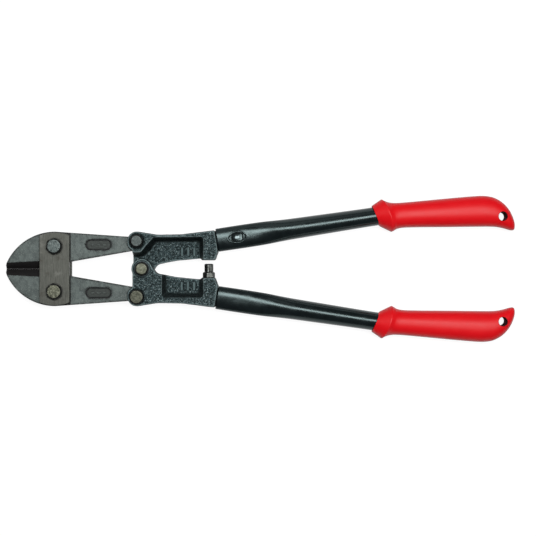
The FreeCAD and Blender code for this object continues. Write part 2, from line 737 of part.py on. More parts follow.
def build():
    """Every piece by name."""
    seat_z = arm_half - spotface_depth
    recess_z = arm_half - centre_recess_depth
    washer_z = recess_z + centre_washer_thickness
    back_washer_z = -arm_half - side_gap
    centre_nut_z = back_washer_z - centre_washer_thickness
    open_hole = pivot_bolt_radius + centre_wander() + pin_gap
    lower_arm = flipped(arm(pivot_bolt_radius + seat_gap))
    lower_arm = lower_arm.cut(drum(spotface_radius, recess_z, through, 0, 0))
    pieces = {
        "front_plate": side_plate(1),
        "rear_plate": side_plate(-1),
        "upper_jaw": upper_jaw(),
        "lower_jaw": mirrored(upper_jaw()),
        "upper_arm": arm(open_hole),
        "lower_arm": lower_arm.cut(stop_bore()),
        "upper_tube": upper_tube(),
        "lower_tube": flipped(upper_tube()),
        "upper_grip": upper_grip(),
        "lower_grip": mirrored(upper_grip()),
        "upper_tail_bolt": pivot_bolt(tail_pivot_x, tail_pivot_y, pivot_head_flats, seat_z, -seat_z,
                                      upper_tail_bolt_turn_deg),
        "lower_tail_bolt": pivot_bolt(tail_pivot_x, -tail_pivot_y, low_tail_head_flats, seat_z, -seat_z,
                                      lower_tail_bolt_turn_deg),
        "centre_bolt": pivot_bolt(0, 0, pivot_head_flats, washer_z, centre_nut_z, centre_bolt_turn_deg),
        "centre_front_washer": ring(0, 0, pivot_bolt_radius + seat_gap, spotface_radius - side_gap,
                                    recess_z, washer_z),
        "centre_rear_washer": ring(0, 0, pivot_bolt_radius + seat_gap, centre_washer_radius,
                                   centre_nut_z, back_washer_z),
        "centre_nut": nut(0, 0, pivot_bolt_radius + seat_gap, nut_flats, nut_height, centre_nut_z,
                          nut_turn_deg),
        "stop_screw": stop_screw(),
        "stop_locknut": stop_locknut(),
    }
    for name, y, turn_deg in (("upper", jaw_pivot_y, upper_jaw_bolt_turn_deg),
                              ("lower", -jaw_pivot_y, lower_jaw_bolt_turn_deg)):
        pieces[name + "_jaw_bolt"] = jaw_bolt(y, turn_deg)
        pieces[name + "_lock_washer"] = ring(jaw_pivot_x, y, jaw_bolt_radius + seat_gap, lock_washer_radius,
                                             -washer_back_z, -plate_outer_z)
        pieces[name + "_jaw_nut"] = nut(jaw_pivot_x, y, jaw_bolt_radius + seat_gap, nut_flats, nut_height,
                                        -washer_back_z, turn_deg + jaw_nut_turn_deg)
    for name, y in (("upper_tail_nut", tail_pivot_y), ("lower_tail_nut", -tail_pivot_y)):
        pieces[name] = nut(tail_pivot_x, y, pivot_bolt_radius + seat_gap, nut_flats, nut_height, -seat_z,
                           nut_turn_deg)
    return pieces


def main():
    """Write each piece, with the origin under the middle of the tool where it rests."""
    os.makedirs("parts", exist_ok=True)
    shift = Vector(-(nose_x + grip_end_x()) / 2, 0, rest_z)
    for name, shape in build().items():
        shape.translate(shift)
        shape.exportStep("parts/" + name + ".step")
        box = shape.optimalBoundingBox()
        print(name, len(shape.Solids), shape.isValid(), round(shape.Volume, 1),
              [round(v, 2) for v in (box.XMin, box.YMin, box.ZMin, box.XMax, box.YMax, box.ZMax)])
    print("shift", shift, "centre hole wander", round(centre_wander(), 3))


main()
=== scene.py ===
# %% [markdown]
# # Bolt cutters: finishing a packed assembly
#
# The tool arrives as a frame of exact solids: two jaws between two side plates, two forged arms
# that cross at a centre bolt, and two tubes with moulded grips. The solids already have the right
# sizes, so this lesson adds what solids can't carry: the finish of every surface, and the pieces
# whose skin is too soft, too rough or too finely pressed for a plain solid. The plates and the jaws
# stay as they are, and get a finish only.

# %% Load the frame
import bmesh
import bpy
import json
import math
import numpy as np
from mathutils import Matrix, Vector

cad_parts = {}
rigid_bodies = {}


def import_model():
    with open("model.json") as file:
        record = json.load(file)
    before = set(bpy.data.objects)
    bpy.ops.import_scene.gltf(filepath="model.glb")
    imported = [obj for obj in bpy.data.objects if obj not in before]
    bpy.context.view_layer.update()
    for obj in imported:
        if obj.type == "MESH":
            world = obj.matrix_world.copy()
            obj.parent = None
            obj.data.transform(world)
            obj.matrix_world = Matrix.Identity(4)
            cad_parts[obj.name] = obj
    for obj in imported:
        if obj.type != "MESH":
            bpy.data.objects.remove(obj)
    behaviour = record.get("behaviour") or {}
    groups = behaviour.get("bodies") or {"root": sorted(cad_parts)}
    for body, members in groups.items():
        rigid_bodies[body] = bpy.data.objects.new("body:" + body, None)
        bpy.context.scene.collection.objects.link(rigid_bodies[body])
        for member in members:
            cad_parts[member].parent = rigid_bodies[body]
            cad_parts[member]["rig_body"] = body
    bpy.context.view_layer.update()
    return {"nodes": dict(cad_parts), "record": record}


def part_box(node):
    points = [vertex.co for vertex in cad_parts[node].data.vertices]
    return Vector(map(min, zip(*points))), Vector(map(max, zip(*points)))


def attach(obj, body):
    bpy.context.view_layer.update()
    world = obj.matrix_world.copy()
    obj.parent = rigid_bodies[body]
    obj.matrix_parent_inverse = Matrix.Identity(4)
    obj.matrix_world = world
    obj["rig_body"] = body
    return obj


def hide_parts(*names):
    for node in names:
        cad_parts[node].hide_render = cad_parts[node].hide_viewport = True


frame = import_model()
nodes = frame["nodes"]

# %% [markdown]
# ## Places that later cells share
#
# Everything is in metres and lies where the solids lie. The tool rests on its back, so +Z points
# out of its front. Both halves have the same middle plane, which is the middle of an arm's
# thickness, and the lower half is the upper half turned half a turn about the tool's middle line.

# %% Measure the frame
MM = 0.001


def size_of(node):
    """Low corner and high corner of a solid's box, as arrays."""
    return [np.array(corner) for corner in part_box(node)]


def middle_of(node):
    """Middle of a solid's box."""
    return sum(size_of(node)) / 2


arm_low, arm_high = size_of("upper_arm")
MID_Z = (arm_low[2] + arm_high[2]) / 2
FRONT_Z = arm_high[2]
print("middle plane at", round(MID_Z / MM, 2), "mm, arms' front face at", round(FRONT_Z / MM, 2), "mm")

# %% [markdown]
# ## Surfaces from grids
#
# A skin is a function of two parameters: rows go along the piece and columns go round it. Working
# out the whole grid as one array is quicker than adding vertices one by one, and the shape stays
# readable as a formula.


# %% Grid helpers
DOUBLE_DISTANCE = 0.001 * MM


def new_object(name, data):
    """Object for some data, in the scene at the origin."""
    made = bpy.data.objects.new(name, data)
    bpy.context.scene.collection.objects.link(made)
    return made


def make_mesh(name, points, faces):
    """Smooth-shaded mesh object from an (n, 3) array of points and a list of face corners."""
    mesh = bpy.data.meshes.new(name)
    mesh.from_pydata(points.tolist(), [], faces)
    mesh.validate()
    mesh.shade_smooth()
    return new_object(name, mesh)


def face_outwards(piece):
    """Merge doubled points and point every face out of the closed skin."""
    work = bmesh.new()
    work.from_mesh(piece.data)
    bmesh.ops.remove_doubles(work, verts=work.verts, dist=DOUBLE_DISTANCE)
    bmesh.ops.recalc_face_normals(work, faces=work.faces)
    work.to_mesh(piece.data)
    work.free()


def store(mesh, name, values):
    """Keep one number for each vertex."""
    mesh.attributes.new(name, "FLOAT", "POINT").data.foreach_set("value", values.astype(np.float32).ravel())


def vertex_numbers(rings):
    """Number of each vertex of a grid, as an array of (rows, columns)."""
    rows, columns, _ = rings.shape
    return np.arange(rows * columns).reshape(rows, columns)


def ring_quads(numbers):
    """Quads between each row of vertex numbers and the next, all the way round.

    Corners are (row, column), (row, column + 1), (row + 1, column + 1) and (row + 1, column).
    """
    beside = np.roll(numbers, -1, axis=1)
    return np.stack([numbers[:-1], beside[:-1], beside[1:], numbers[1:]], axis=-1).reshape(-1, 4)


def looped_skin(name, rings, **marks):
    """Skin over rings, an array of (rows, columns, 3), whose last ring joins back to its first.

    Marks are numbers on the same grid.
    """
    numbers = vertex_numbers(rings)
    quads = ring_quads(np.concatenate([numbers, numbers[:1]]))
    piece = make_mesh(name, rings.reshape(-1, 3), quads.tolist())
    for label, values in marks.items():
        store(piece.data, label, values)
    face_outwards(piece)
    return piece


def capped_skin(name, rings):
    """Skin over rings, an array of (rows, columns, 3), with a fan from each end ring to its middle."""
    numbers = vertex_numbers(rings)
    faces = ring_quads(numbers).tolist()
    for hub, ring in enumerate((numbers[0], numbers[-1]), numbers.size):
        faces += np.stack([ring, np.roll(ring, -1), np.full(ring.size, hub)], axis=-1).tolist()
    points = np.concatenate([rings.reshape(-1, 3), rings[[0, -1]].mean(axis=1)])
    piece = make_mesh(name, points, faces)
    face_outwards(piece)
    return piece


print("points closer than", DOUBLE_DISTANCE / MM, "mm count as doubled")

# %% [markdown]
# A few measured sections are enough for a long piece when a smooth curve runs through them. Noise
# from a lattice of random values then adds the unevenness that a formula lacks.

# %% Curves and noise
LATTICE_CELLS = 32


def smooth_rows(stations, place):
    """Rows of a table read between its stations, on a Catmull-Rom curve that passes through each of them.

    The tangent at a station is half the step between its neighbours, so the curve hardly overshoots.
    """
    stations = np.asarray(stations, float)
    last = len(stations) - 1
    start = np.minimum(place.astype(int), last - 1)
    t = (place - start)[:, None]
    before, here = stations[np.maximum(start - 1, 0)], stations[start]
    ahead, beyond = stations[start + 1], stations[np.minimum(start + 2, last)]
    return (here + t * (ahead - before) / 2 + t**2 * (before - 2.5 * here + 2 * ahead - beyond / 2)
            + t**3 * (1.5 * (here - ahead) + (beyond - before) / 2))


def superellipse(angle, power):
    """Unit curve between a diamond and a square: cos and sin raised to 2 / power, with their signs kept."""
    c, s = np.cos(angle), np.sin(angle)
    return np.sign(c) * np.abs(c) ** (2 / power), np.sign(s) * np.abs(s) ** (2 / power)


def turned_over(rings):
    """The lower half's copy of a grid, half a turn about the middle line: (y, z) -> (-y, 2 MID_Z - z)."""
    return rings * np.array([1, -1, -1]) + np.array([0, 0, 2 * MID_Z])


def lattice_noise(points, size, seed):
    """Smooth noise from -1 to 1: random values on a lattice of cubes, blended by the curve 3 t^2 - 2 t^3.

    The lattice repeats after LATTICE_CELLS cubes.
    """
    table = np.random.default_rng(seed).uniform(-1, 1, (LATTICE_CELLS,) * 3)
    cell = np.floor(points / size).astype(int)
    t = points / size - cell
    t = t * t * (3 - 2 * t)
    total = np.zeros(points.shape[:-1])
    for corner in np.ndindex(2, 2, 2):
        weight = np.prod(np.where(corner, t, 1 - t), axis=-1)
        x, y, z = np.moveaxis((cell + corner) % LATTICE_CELLS, -1, 0)
        total += weight * table[x, y, z]
    return total


print("noise repeats after", LATTICE_CELLS, "cubes")

# %% [markdown]
# ## Handle tubes
#
# Each tube is a round pipe whose mouth has been squashed flat over the arm's tang and then punched
# through the front, so that it can't slide off. A modeller could flatten a cylinder with a lattice.
# Here the section is worked out along the tube instead, because the taper, the bend inside the grip
# and the punch mark are then short formulas on one grid.

# %% Tube path and section
HANDLE_ANGLE = math.radians(8.6)
HANDLE_SIN, HANDLE_COS = math.sin(HANDLE_ANGLE), math.cos(HANDLE_ANGLE)
BEND_START = 150 * MM
BEND_RADIUS = 100 * MM
BEND_ANGLE = math.radians(7.4)
TAIL_LENGTH = 74 * MM
TUBE_LENGTH = BEND_START + BEND_RADIUS * BEND_ANGLE + TAIL_LENGTH
TUBE_WALL = 1.8 * MM
# distance from the mouth, half width, half thickness in millimetres, squareness
TUBE_STATIONS = np.array([
    (0, 10.5, 5.4, 2.5),
    (14, 10.6, 5.4, 2.5),
    (28, 10.6, 5.4, 2.5),
    (38, 10.5, 5.4, 2.2),
    (46, 10.3, 5.9, 2.0),
    (56, 9.8, 7.2, 1.95),
    (66, 9.45, 8.3, 1.97),
    (80, 9.2, 8.8, 2.0),
    (108, 8.8, 8.7, 2.0),
    (139, 8.4, 8.4, 2.0),
])
mouth_half = TUBE_STATIONS[0, 1] * MM
mouth_corner = size_of("upper_tube")[0][:2]
TUBE_MOUTH = mouth_corner + mouth_half * np.array([HANDLE_SIN, HANDLE_COS])


def tube_axis(distance):
    """Point on the upper tube's axis and its heading: straight, an arc of BEND_RADIUS, straight again."""
    heading = HANDLE_ANGLE - np.clip((distance - BEND_START) / BEND_RADIUS, 0, BEND_ANGLE)
    straight = np.minimum(distance, BEND_START)
    tail = np.maximum(distance - BEND_START - BEND_RADIUS * BEND_ANGLE, 0)
    x = TUBE_MOUTH[0] + straight * HANDLE_COS + tail * np.cos(heading)
    y = TUBE_MOUTH[1] + straight * HANDLE_SIN + tail * np.sin(heading)
    x = x + BEND_RADIUS * (HANDLE_SIN - np.sin(heading))
    y = y + BEND_RADIUS * (np.cos(heading) - HANDLE_COS)
    return x[:, None], y[:, None], heading[:, None]


def tube_rings(distance, angle, inset=0.0):
    """Grid of the upper tube: a superellipse across the axis at each distance, moved in by inset."""
    x, y, heading = tube_axis(distance)
    place = np.interp(distance, TUBE_STATIONS[:, 0] * MM, np.arange(len(TUBE_STATIONS)))
    sections = smooth_rows(TUBE_STATIONS[:, 1:], place)
    half_width, half_height, power = (column[:, None] for column in sections.T)
    u, v = superellipse(angle[None, :], power)
    across = u * (half_width * MM - inset)
    up = v * (half_height * MM - inset)
    rings = np.stack([x - across * np.sin(heading), y + across * np.cos(heading), MID_Z + up], axis=-1)
    return rings, across


print("tube length", round(TUBE_LENGTH / MM, 1), "mm")

# %% [markdown]
# The punch mark is a height field laid over the flat front: a shallow dish with pointed ends, a
# square slot through its floor and the slanting tongue of metal left standing in the slot. Each is
# a smooth step of a distance, so the metal rolls over its edges as pressed sheet does. The same
# steps also tell the enamel where it carries a painted highlight and where painted shade.

# %% Punch mark
PUNCH_DISH = (8.0 * MM, 4.5 * MM)
PUNCH_SLOT = (4.3 * MM, 3.2 * MM)
PUNCH_TONGUE = (2.2 * MM, 1.35 * MM)
DISH_DEPTH = 0.6 * MM
SLOT_DEPTH = 1.6 * MM
SHADOW_SPREAD = 1.22
TONGUE_SLANT = 0.12
LIP_HEIGHT = 0.12 * MM
LIP_SPREAD = 1.16
LIP_HIGHLIGHT = 0.6


def pressed(along, across, shape, power, softness):
    """Share from 0 outside to 1 inside a superellipse of half sizes shape.

    reach = (|along / shape[0]|^power + |across / shape[1]|^power)^(1 / power) is 1 on its rim. The share
    falls from 1 to 0 as reach goes from 1 - softness to 1 + softness.
    """
    reach = (np.abs(along / shape[0]) ** power + np.abs(across / shape[1]) ** power) ** (1 / power)
    t = np.clip((1 + softness - reach) / (2 * softness), 0, 1)
    return t * t * (3 - 2 * t)


def punch_mark(along, across):
    """How far the punch sinks the skin, where it carries a painted highlight and where painted shade.

    Depth is dish + slot - tongue - lip, with the tongue's top slanting across the tube. The lip and the
    tongue's top get a painted highlight. The slot and a narrow border round it get painted shade.
    """
    dish = pressed(along, across, PUNCH_DISH, power=1.7, softness=0.12)
    lip_shape = [LIP_SPREAD * half for half in PUNCH_DISH]
    lip = pressed(along, across, lip_shape, power=1.7, softness=0.12) - dish
    slot = pressed(along, across, PUNCH_SLOT, power=6, softness=0.07)
    tongue = pressed(along, across, PUNCH_TONGUE, power=5, softness=0.09)
    shadow_shape = [SHADOW_SPREAD * half for half in PUNCH_SLOT]
    shadow = pressed(along, across, shadow_shape, power=5, softness=0.1)
    slant = TONGUE_SLANT * (across + along / 2)
    depth = dish * DISH_DEPTH + slot * SLOT_DEPTH - tongue * (SLOT_DEPTH - slant) - lip * LIP_HEIGHT
    return depth, LIP_HIGHLIGHT * lip + tongue, shadow - tongue


punch_depth = DISH_DEPTH + SLOT_DEPTH
print("punched", round(punch_depth / MM, 1), "mm deep, through a wall of", round(TUBE_WALL / MM, 1), "mm")

# %% [markdown]
# A squashed pipe is never quite flat, so a slow noise dents the mouth and dies away where the tube
# turns round again. Rows stand close together at the mouth's rolled edge and under the punch mark.

# %% Tube skins
PUNCH_AT = 18.5 * MM
DENT_DEPTH = 0.05 * MM
DENT_SIZE = 15 * MM
FLAT_UNTIL = 26 * MM
ROUND_FROM = 56 * MM
ROUND_DENTS = 0.12
TUBE_COLUMNS = 240
COLUMN_CROWDING = 0.25
MOUTH_ROLL = 0.3 * MM
MOUTH_ROLL_SHARES = np.array([1.0, 0.4, 0.1])[:, None, None]
# rows close to the mouth, and rows of the bore from its far end, as distances in millimetres
MOUTH_ROWS = np.array([0.0, 0.1, 0.3, 0.7, 1.5, 3.0, 5.0, 7.0])
BORE_ROWS = np.array([TUBE_LENGTH / MM, 150, 100, 60, 45, 30, 0])
# rows under the punch mark are fine, and the others are coarse
FINE_REACH = 10.5 * MM
FINE_STEP = 0.16 * MM
COARSE_STEP = 1.6 * MM


def upper_tube_grid(seed):
    """Outer skin with its dents and punch mark, rolled over the mouth into the bore's skin, and its marks
    of painted highlight and painted shade.

    Columns stand at turn + COLUMN_CROWDING * sin(2 turn), which crowds them on the flat front and back.
    """
    turn = np.linspace(0, 2 * math.pi, TUBE_COLUMNS, endpoint=False)
    angle = turn + COLUMN_CROWDING * np.sin(2 * turn)
    mouth = MOUTH_ROWS * MM
    fine = np.arange(PUNCH_AT - FINE_REACH, PUNCH_AT + FINE_REACH, FINE_STEP)
    coarse = np.arange(PUNCH_AT + FINE_REACH + 1 * MM, TUBE_LENGTH, COARSE_STEP)
    distance = np.concatenate([mouth, fine, coarse, [TUBE_LENGTH]])
    outer, across = tube_rings(distance, angle)
    flatness = np.interp(distance, [FLAT_UNTIL, ROUND_FROM], [1.0, ROUND_DENTS])[:, None]
    dent = DENT_DEPTH * flatness * lattice_noise(outer, DENT_SIZE, seed)
    front = outer[..., 2] > MID_Z
    along = (distance - PUNCH_AT)[:, None] + np.zeros_like(across)
    depth, painted_highlight, dark = punch_mark(along, across)
    outer[..., 2] += np.where(front, dent - depth, -dent)
    rolled, _ = tube_rings(mouth[:1], angle, MOUTH_ROLL)
    outer[:len(MOUTH_ROLL_SHARES)] += (rolled - outer[:1]) * MOUTH_ROLL_SHARES
    inner, _ = tube_rings(BORE_ROWS * MM, angle, TUBE_WALL)
    bare = np.zeros(inner.shape[:2])
    # painted highlight on the punch mark's lip and tongue, and painted shade in its slot, on the front only
    marks = {
        "edge": np.concatenate([painted_highlight * front, bare]),
        "hollow": np.concatenate([dark * front, bare]),
    }
    return np.concatenate([outer, inner]), marks


upper_rings, upper_marks = upper_tube_grid(seed=3)
lower_rings, lower_marks = upper_tube_grid(seed=8)
tubes = {
    "upper": looped_skin("upper_tube_skin", upper_rings, **upper_marks),
    "lower": looped_skin("lower_tube_skin", turned_over(lower_rings), **lower_marks),
}
print("tube faces:", [len(tube.data.polygons) for tube in tubes.values()])

# %% [markdown]
# ## Grips
#
# The grips are soft red vinyl slipped over the tubes: a flared collar with a sharp ridge that stops
# the hand, a body that swells towards the end, and an end that rounds over into a small hook with a
# hanging hole. Sculpting would be quick but hard to repeat, so each section is set by its outer
# point, its inner point and its thickness, and a smooth curve runs through them. The collar's faces
# are straight, so it has a table of its own.

# %% Grip sections
grip_start = size_of("upper_grip")[0][0]
# outer x, y; inner x, y; half thickness; squareness; bow, in millimetres, with x from the collar's tip
COLLAR_STATIONS = np.array([
    (0.0, 56.8, 7.3, 38.3, 9.9, 2.0, 0.0),
    (8.4, 62.6, 17.4, 33.5, 14.4, 2.05, 2.7),
])
BODY_STATIONS = np.array([
    (9.3, 62.7, 18.2, 33.4, 14.5, 2.1, 2.7),
    (12.2, 61.2, 20.4, 34.6, 13.6, 2.15, 2.2),
    (16.5, 59.9, 23.4, 36.2, 12.7, 2.2, 1.2),
    (24.0, 59.6, 29.5, 37.2, 12.2, 2.3, 0.2),
    (42.0, 61.1, 45.0, 37.6, 12.25, 2.3, 0.0),
    (62.0, 63.0, 63.0, 37.7, 12.3, 2.3, 0.0),
    (82.0, 64.8, 82.0, 37.9, 12.4, 2.3, 0.0),
    (97.0, 65.9, 97.0, 38.05, 12.5, 2.3, 0.0),
    (104.8, 65.6, 105.0, 38.1, 12.4, 2.3, 0.0),
    (111.2, 64.0, 112.2, 37.8, 12.1, 2.3, 0.0),
    (117.9, 60.0, 119.0, 36.5, 11.2, 2.25, 0.0),
    (123.3, 54.2, 123.9, 35.1, 9.5, 2.2, 0.0),
    (126.6, 48.3, 126.9, 34.7, 7.2, 2.1, 0.0),
    (128.3, 43.5, 128.4, 35.4, 4.8, 2.0, 0.0),
    (128.8, 41.0, 128.8, 37.0, 2.4, 2.0, 0.0),
])
# what the mouth's lip adds to the collar's first section
LIP_STEP = np.array([[0.2, -0.6, -0.2, 0.6, -0.6, 0.0, 0.0]])
COLLAR_ROWS = np.array([0.0, 0.02, 0.06, 0.15, 0.3, 0.5, 0.7, 0.85, 0.94, 0.98, 1.0])
BODY_ROWS = 190
GRIP_COLUMNS = 160
# distances along the tube in millimetres, from the bore's blind end to the grip's mouth
GRIP_BORE_ROWS = np.array([232, 200, 165, 155, 150, 146])
PART_LINE_SHARE = 0.012
PART_LINE_WIDTH = 0.035
BORE_GAP = 0.05 * MM


def grip_rings(rows, angle):
    """Rings across the line from each row's inner point to its outer point.

    With (u, v) on a superellipse, a point lies at middle + u * half the line, v * half thickness up, and
    bow * v^2 further back, which curves the collar's ridge. The skin is a share narrower everywhere but in
    a strip at sin(angle) = 0, which leaves the mould's parting line standing.
    """
    outer, inner = rows[:, 0:2] * MM, rows[:, 2:4] * MM
    middle, reach = (outer + inner) / 2, (outer - inner) / 2
    u, v = superellipse(angle[None, :], rows[:, 5:6])
    u = u * (1 - PART_LINE_SHARE * (1 - np.exp(-(np.sin(angle) / PART_LINE_WIDTH) ** 2)))
    x = grip_start + middle[:, 0:1] + reach[:, 0:1] * u + rows[:, 6:7] * MM * v**2
    y = middle[:, 1:2] + reach[:, 1:2] * u
    return np.stack([x, y, MID_Z + v * rows[:, 4:5] * MM], axis=-1)


def upper_grip_grid():
    """One closed skin: bore, mouth, collar, ridge, body and rounded end."""
    angle = np.linspace(0, 2 * math.pi, GRIP_COLUMNS, endpoint=False)
    collar = smooth_rows(COLLAR_STATIONS, COLLAR_ROWS)
    lip = collar[:1] + LIP_STEP
    body = smooth_rows(BODY_STATIONS, np.linspace(0, len(BODY_STATIONS) - 1, BODY_ROWS))
    skin = grip_rings(np.concatenate([lip, collar, body]), angle)
    bore, _ = tube_rings(GRIP_BORE_ROWS * MM, angle, -BORE_GAP)
    mouth = (bore[-1:] + skin[:1]) / 2
    return np.concatenate([bore, mouth, skin])


grip_grid = upper_grip_grid()
grips = {
    "upper": capped_skin("upper_grip_skin", grip_grid),
    "lower": capped_skin("lower_grip_skin", turned_over(grip_grid)),
}
print("grip faces:", [len(grip.data.polygons) for grip in grips.values()])

# %% [markdown]
# The hanging hole goes right through. A Boolean with a cylinder cuts it cleanly, and the modifier
# is applied at once, so the finished mesh doesn't depend on the cutter. Edges sharper than 40
# degrees then stay crisp: the ridge, the mouth and the hole's rim.

# %% Cut the hanging holes
mounts = {mount["name"]: mount for mount in frame["record"]["mounts"]}
HOLE_RADIUS = mounts["upper_hanging_hole"]["dims"]["r_mm"] * MM
HOLE_SIDES = 64
CUTTER_REACH = 40 * MM
CREASE_ANGLE = math.radians(40)
hole_places = {side: np.array(mounts[side + "_hanging_hole"]["pos_m"]) for side in ("upper", "lower")}


def settle(piece):
    """Apply all of a piece's modifiers."""
    settled = piece.evaluated_get(bpy.context.evaluated_depsgraph_get())
    piece.data = bpy.data.meshes.new_from_object(settled)
    piece.modifiers.clear()


def drill(piece, place, radius):
    """Cut a round hole along Z right through the piece."""
    turn = np.linspace(0, 2 * math.pi, HOLE_SIDES, endpoint=False)
    x, y = place[0] + radius * np.cos(turn), place[1] + radius * np.sin(turn)
    circle = np.stack([x, y, np.full(HOLE_SIDES, MID_Z)], axis=-1)
    reach = np.array([0, 0, CUTTER_REACH])
    cutter = capped_skin("hole_cutter", np.stack([circle - reach, circle + reach]))
    cut = piece.modifiers.new("hole", "BOOLEAN")
    cut.operation = "DIFFERENCE"
    cut.solver = "EXACT"
    cut.object = cutter
    settle(piece)
    bpy.data.objects.remove(cutter)


for side, grip in grips.items():
    drill(grip, hole_places[side], HOLE_RADIUS)
    grip.data.set_sharp_from_angle(angle=CREASE_ANGLE)
    print(side, "grip has", len(grip.data.polygons), "faces after drilling")

# %% [markdown]
# ## Forged and worn pieces
#
# A drop forging has no sharp edge and no flat face: every edge is rolled, and scale leaves the skin
# pitted. Bolt heads are much the same after years of spanners. The solid's own triangles are exact
# but too crisp, so a copy is merged, rebuilt from small voxels and relaxed, which rounds all its
# edges together. Comparing each point with the average of its wider neighbourhood then tells edges
# from hollows. That is kept as two attributes, because wear, dirt, painted highlight and painted shade
# depend on it later. Last, noise pits the skin for real.

# %% Weathered copies
RELAX_FACTOR = 0.5
FULL_BULGE = 0.25


def vertex_array(source, name):
    """Vectors of a mesh's vertices or vertex normals as an (n, 3) array."""
    values = np.empty(len(source) * 3, np.float32)
    source.foreach_get(name, values)
    return values.reshape(-1, 3).astype(float)


def move_vertices(mesh, points):
    """Put a mesh's vertices at an (n, 3) array of points."""
    mesh.vertices.foreach_set("co", points.astype(np.float32).ravel())
    mesh.update()


def neighbour_mean(values, edges):
    """For each vertex, the mean of values over the vertices that an edge joins to it."""
    count = len(values)
    ends = np.concatenate([edges, edges[:, ::-1]])
    degree = np.bincount(ends[:, 0], minlength=count)
    total = [np.bincount(ends[:, 0], values[ends[:, 1], axis], count) for axis in range(values.shape[1])]
    return np.stack(total, axis=-1) / degree[:, None]


def weathered_copy(node, voxel, relax, reach, pits):
    """Rounded and pitted copy of a solid, with its edges and hollows kept as attributes.

    bulge = (point - mean of its neighbourhood) . normal is above 0 on edges and below 0 in hollows. It
    counts in full from FULL_BULGE of the neighbourhood's radius, which is about reach^0.5 voxels. Pits is
    a list of (depth, size) of the noises that push each point along its normal.
    """
    piece = new_object(node + "_skin", nodes[node].data.copy())
    face_outwards(piece)
    grid = piece.modifiers.new("voxels", "REMESH")
    grid.mode = "VOXEL"
    grid.voxel_size = voxel
    soften = piece.modifiers.new("relax", "SMOOTH")
    soften.factor = RELAX_FACTOR
    soften.iterations = relax
    settle(piece)
    mesh = piece.data
    mesh.shade_smooth()
    points = vertex_array(mesh.vertices, "co")
    normals = vertex_array(mesh.vertex_normals, "vector")
    edges = np.empty(len(mesh.edges) * 2, np.int32)
    mesh.edges.foreach_get("vertices", edges)
    edges = edges.reshape(-1, 2)
    around = points
    for _ in range(reach):
        around = neighbour_mean(around, edges)
    bulge = ((points - around) * normals).sum(axis=1)
    share = bulge / (FULL_BULGE * reach**0.5 * voxel)
    store(mesh, "edge", np.clip(share, 0, 1))
    store(mesh, "hollow", np.clip(-share, 0, 1))
    push = sum(depth * lattice_noise(points, size, seed) for seed, (depth, size) in enumerate(pits))
    move_vertices(mesh, points + normals * push[:, None])
    return piece


print("an edge counts in full from", FULL_BULGE, "of its neighbourhood's radius")

# %% [markdown]
# The pits also roughen what is out of sight. The centre bolt's shank turns in the upper arm's hole,
# and two rough skins would touch there, so the shank is drawn in a little where the arm hides it.


# %% Make the weathered copies
def slim_shank(piece, span, by):
    """Draw a bolt's hidden shank in: between the heights in span, its radius r becomes r - by."""
    points = vertex_array(piece.data.vertices, "co")
    middle = (points.min(axis=0) + points.max(axis=0)) / 2
    offset = (points - middle) * (1.0, 1.0, 0.0)
    hidden = (points[:, 2] > span[0]) & (points[:, 2] < span[1])
    points[hidden] -= by * (offset / np.linalg.norm(offset, axis=1)[:, None])[hidden]
    move_vertices(piece.data, points)


FORGED = ["upper_arm", "lower_arm"]
FORGED_PITS = [(0.07 * MM, 1.3 * MM), (0.09 * MM, 2.9 * MM)]
FASTENERS = [name for name in nodes if name.endswith(("bolt", "nut", "screw", "washer"))]
FASTENER_PITS = [(0.035 * MM, 1.1 * MM), (0.05 * MM, 2.6 * MM)]
SHANK_CLEARANCE = 0.35 * MM
weathered = {}
for node in FORGED:
    weathered[node] = weathered_copy(node, voxel=0.5 * MM, relax=2, reach=24, pits=FORGED_PITS)
for node in FASTENERS:
    weathered[node] = weathered_copy(node, voxel=0.3 * MM, relax=3, reach=16, pits=FASTENER_PITS)
slim_shank(weathered["centre_bolt"], (arm_low[2], arm_high[2]), SHANK_CLEARANCE)
print("weathered faces:", {node: len(piece.data.polygons) for node, piece in weathered.items()})

# %% [markdown]
# ## Effects that several finishes share
#
# An effect that comes back on many parts is a node group: it is tuned once and placed in each
# material with its own values. A group here gives out only masks and heights. The shader itself
# stays in the material.

# %% Node helpers
ORIGIN = (0.0, 0.0, 0.0)
BEVEL_SAMPLES = 6


def new_group(name, inputs, outputs):
    """Empty shader group with named inputs, floats or vectors as their values are, and float outputs."""
    tree = bpy.data.node_groups.new(name, "ShaderNodeTree")
    for label, value in inputs.items():
        kind = "NodeSocketFloat" if isinstance(value, float) else "NodeSocketVector"
        tree.interface.new_socket(label, in_out="INPUT", socket_type=kind).default_value = value
    for label in outputs:
        tree.interface.new_socket(label, in_out="OUTPUT", socket_type="NodeSocketFloat")
    return tree, tree.nodes.new("NodeGroupInput").outputs, tree.nodes.new("NodeGroupOutput").inputs


def feed(tree, socket, value):
    """Link a socket to another, or set it to a plain value."""
    if isinstance(value, bpy.types.NodeSocket):
        tree.links.new(value, socket)
    else:
        socket.default_value = value


def add(tree, kind, settings=None, **values):
    """Node of a kind with its settings, its named inputs fed by values or other sockets."""
    made = tree.nodes.new(kind)
    for key, value in (settings or {}).items():
        setattr(made, key, value)
    for key, value in values.items():
        feed(tree, made.inputs[key.replace("_", " ")], value)
    return made


def arithmetic(tree, operation, first, second=0.0, kind="ShaderNodeMath", result="Value"):
    """Result of a math node, or of a vector math node, for two values."""
    made = add(tree, kind, {"operation": operation})
    feed(tree, made.inputs[0], first)
    feed(tree, made.inputs[1], second)
    return made.outputs[result]


def times(tree, first, second):
    """Product of two values."""
    return arithmetic(tree, "MULTIPLY", first, second)


def minus(tree, first, second):
    """First value less the second."""
    return arithmetic(tree, "SUBTRACT", first, second)


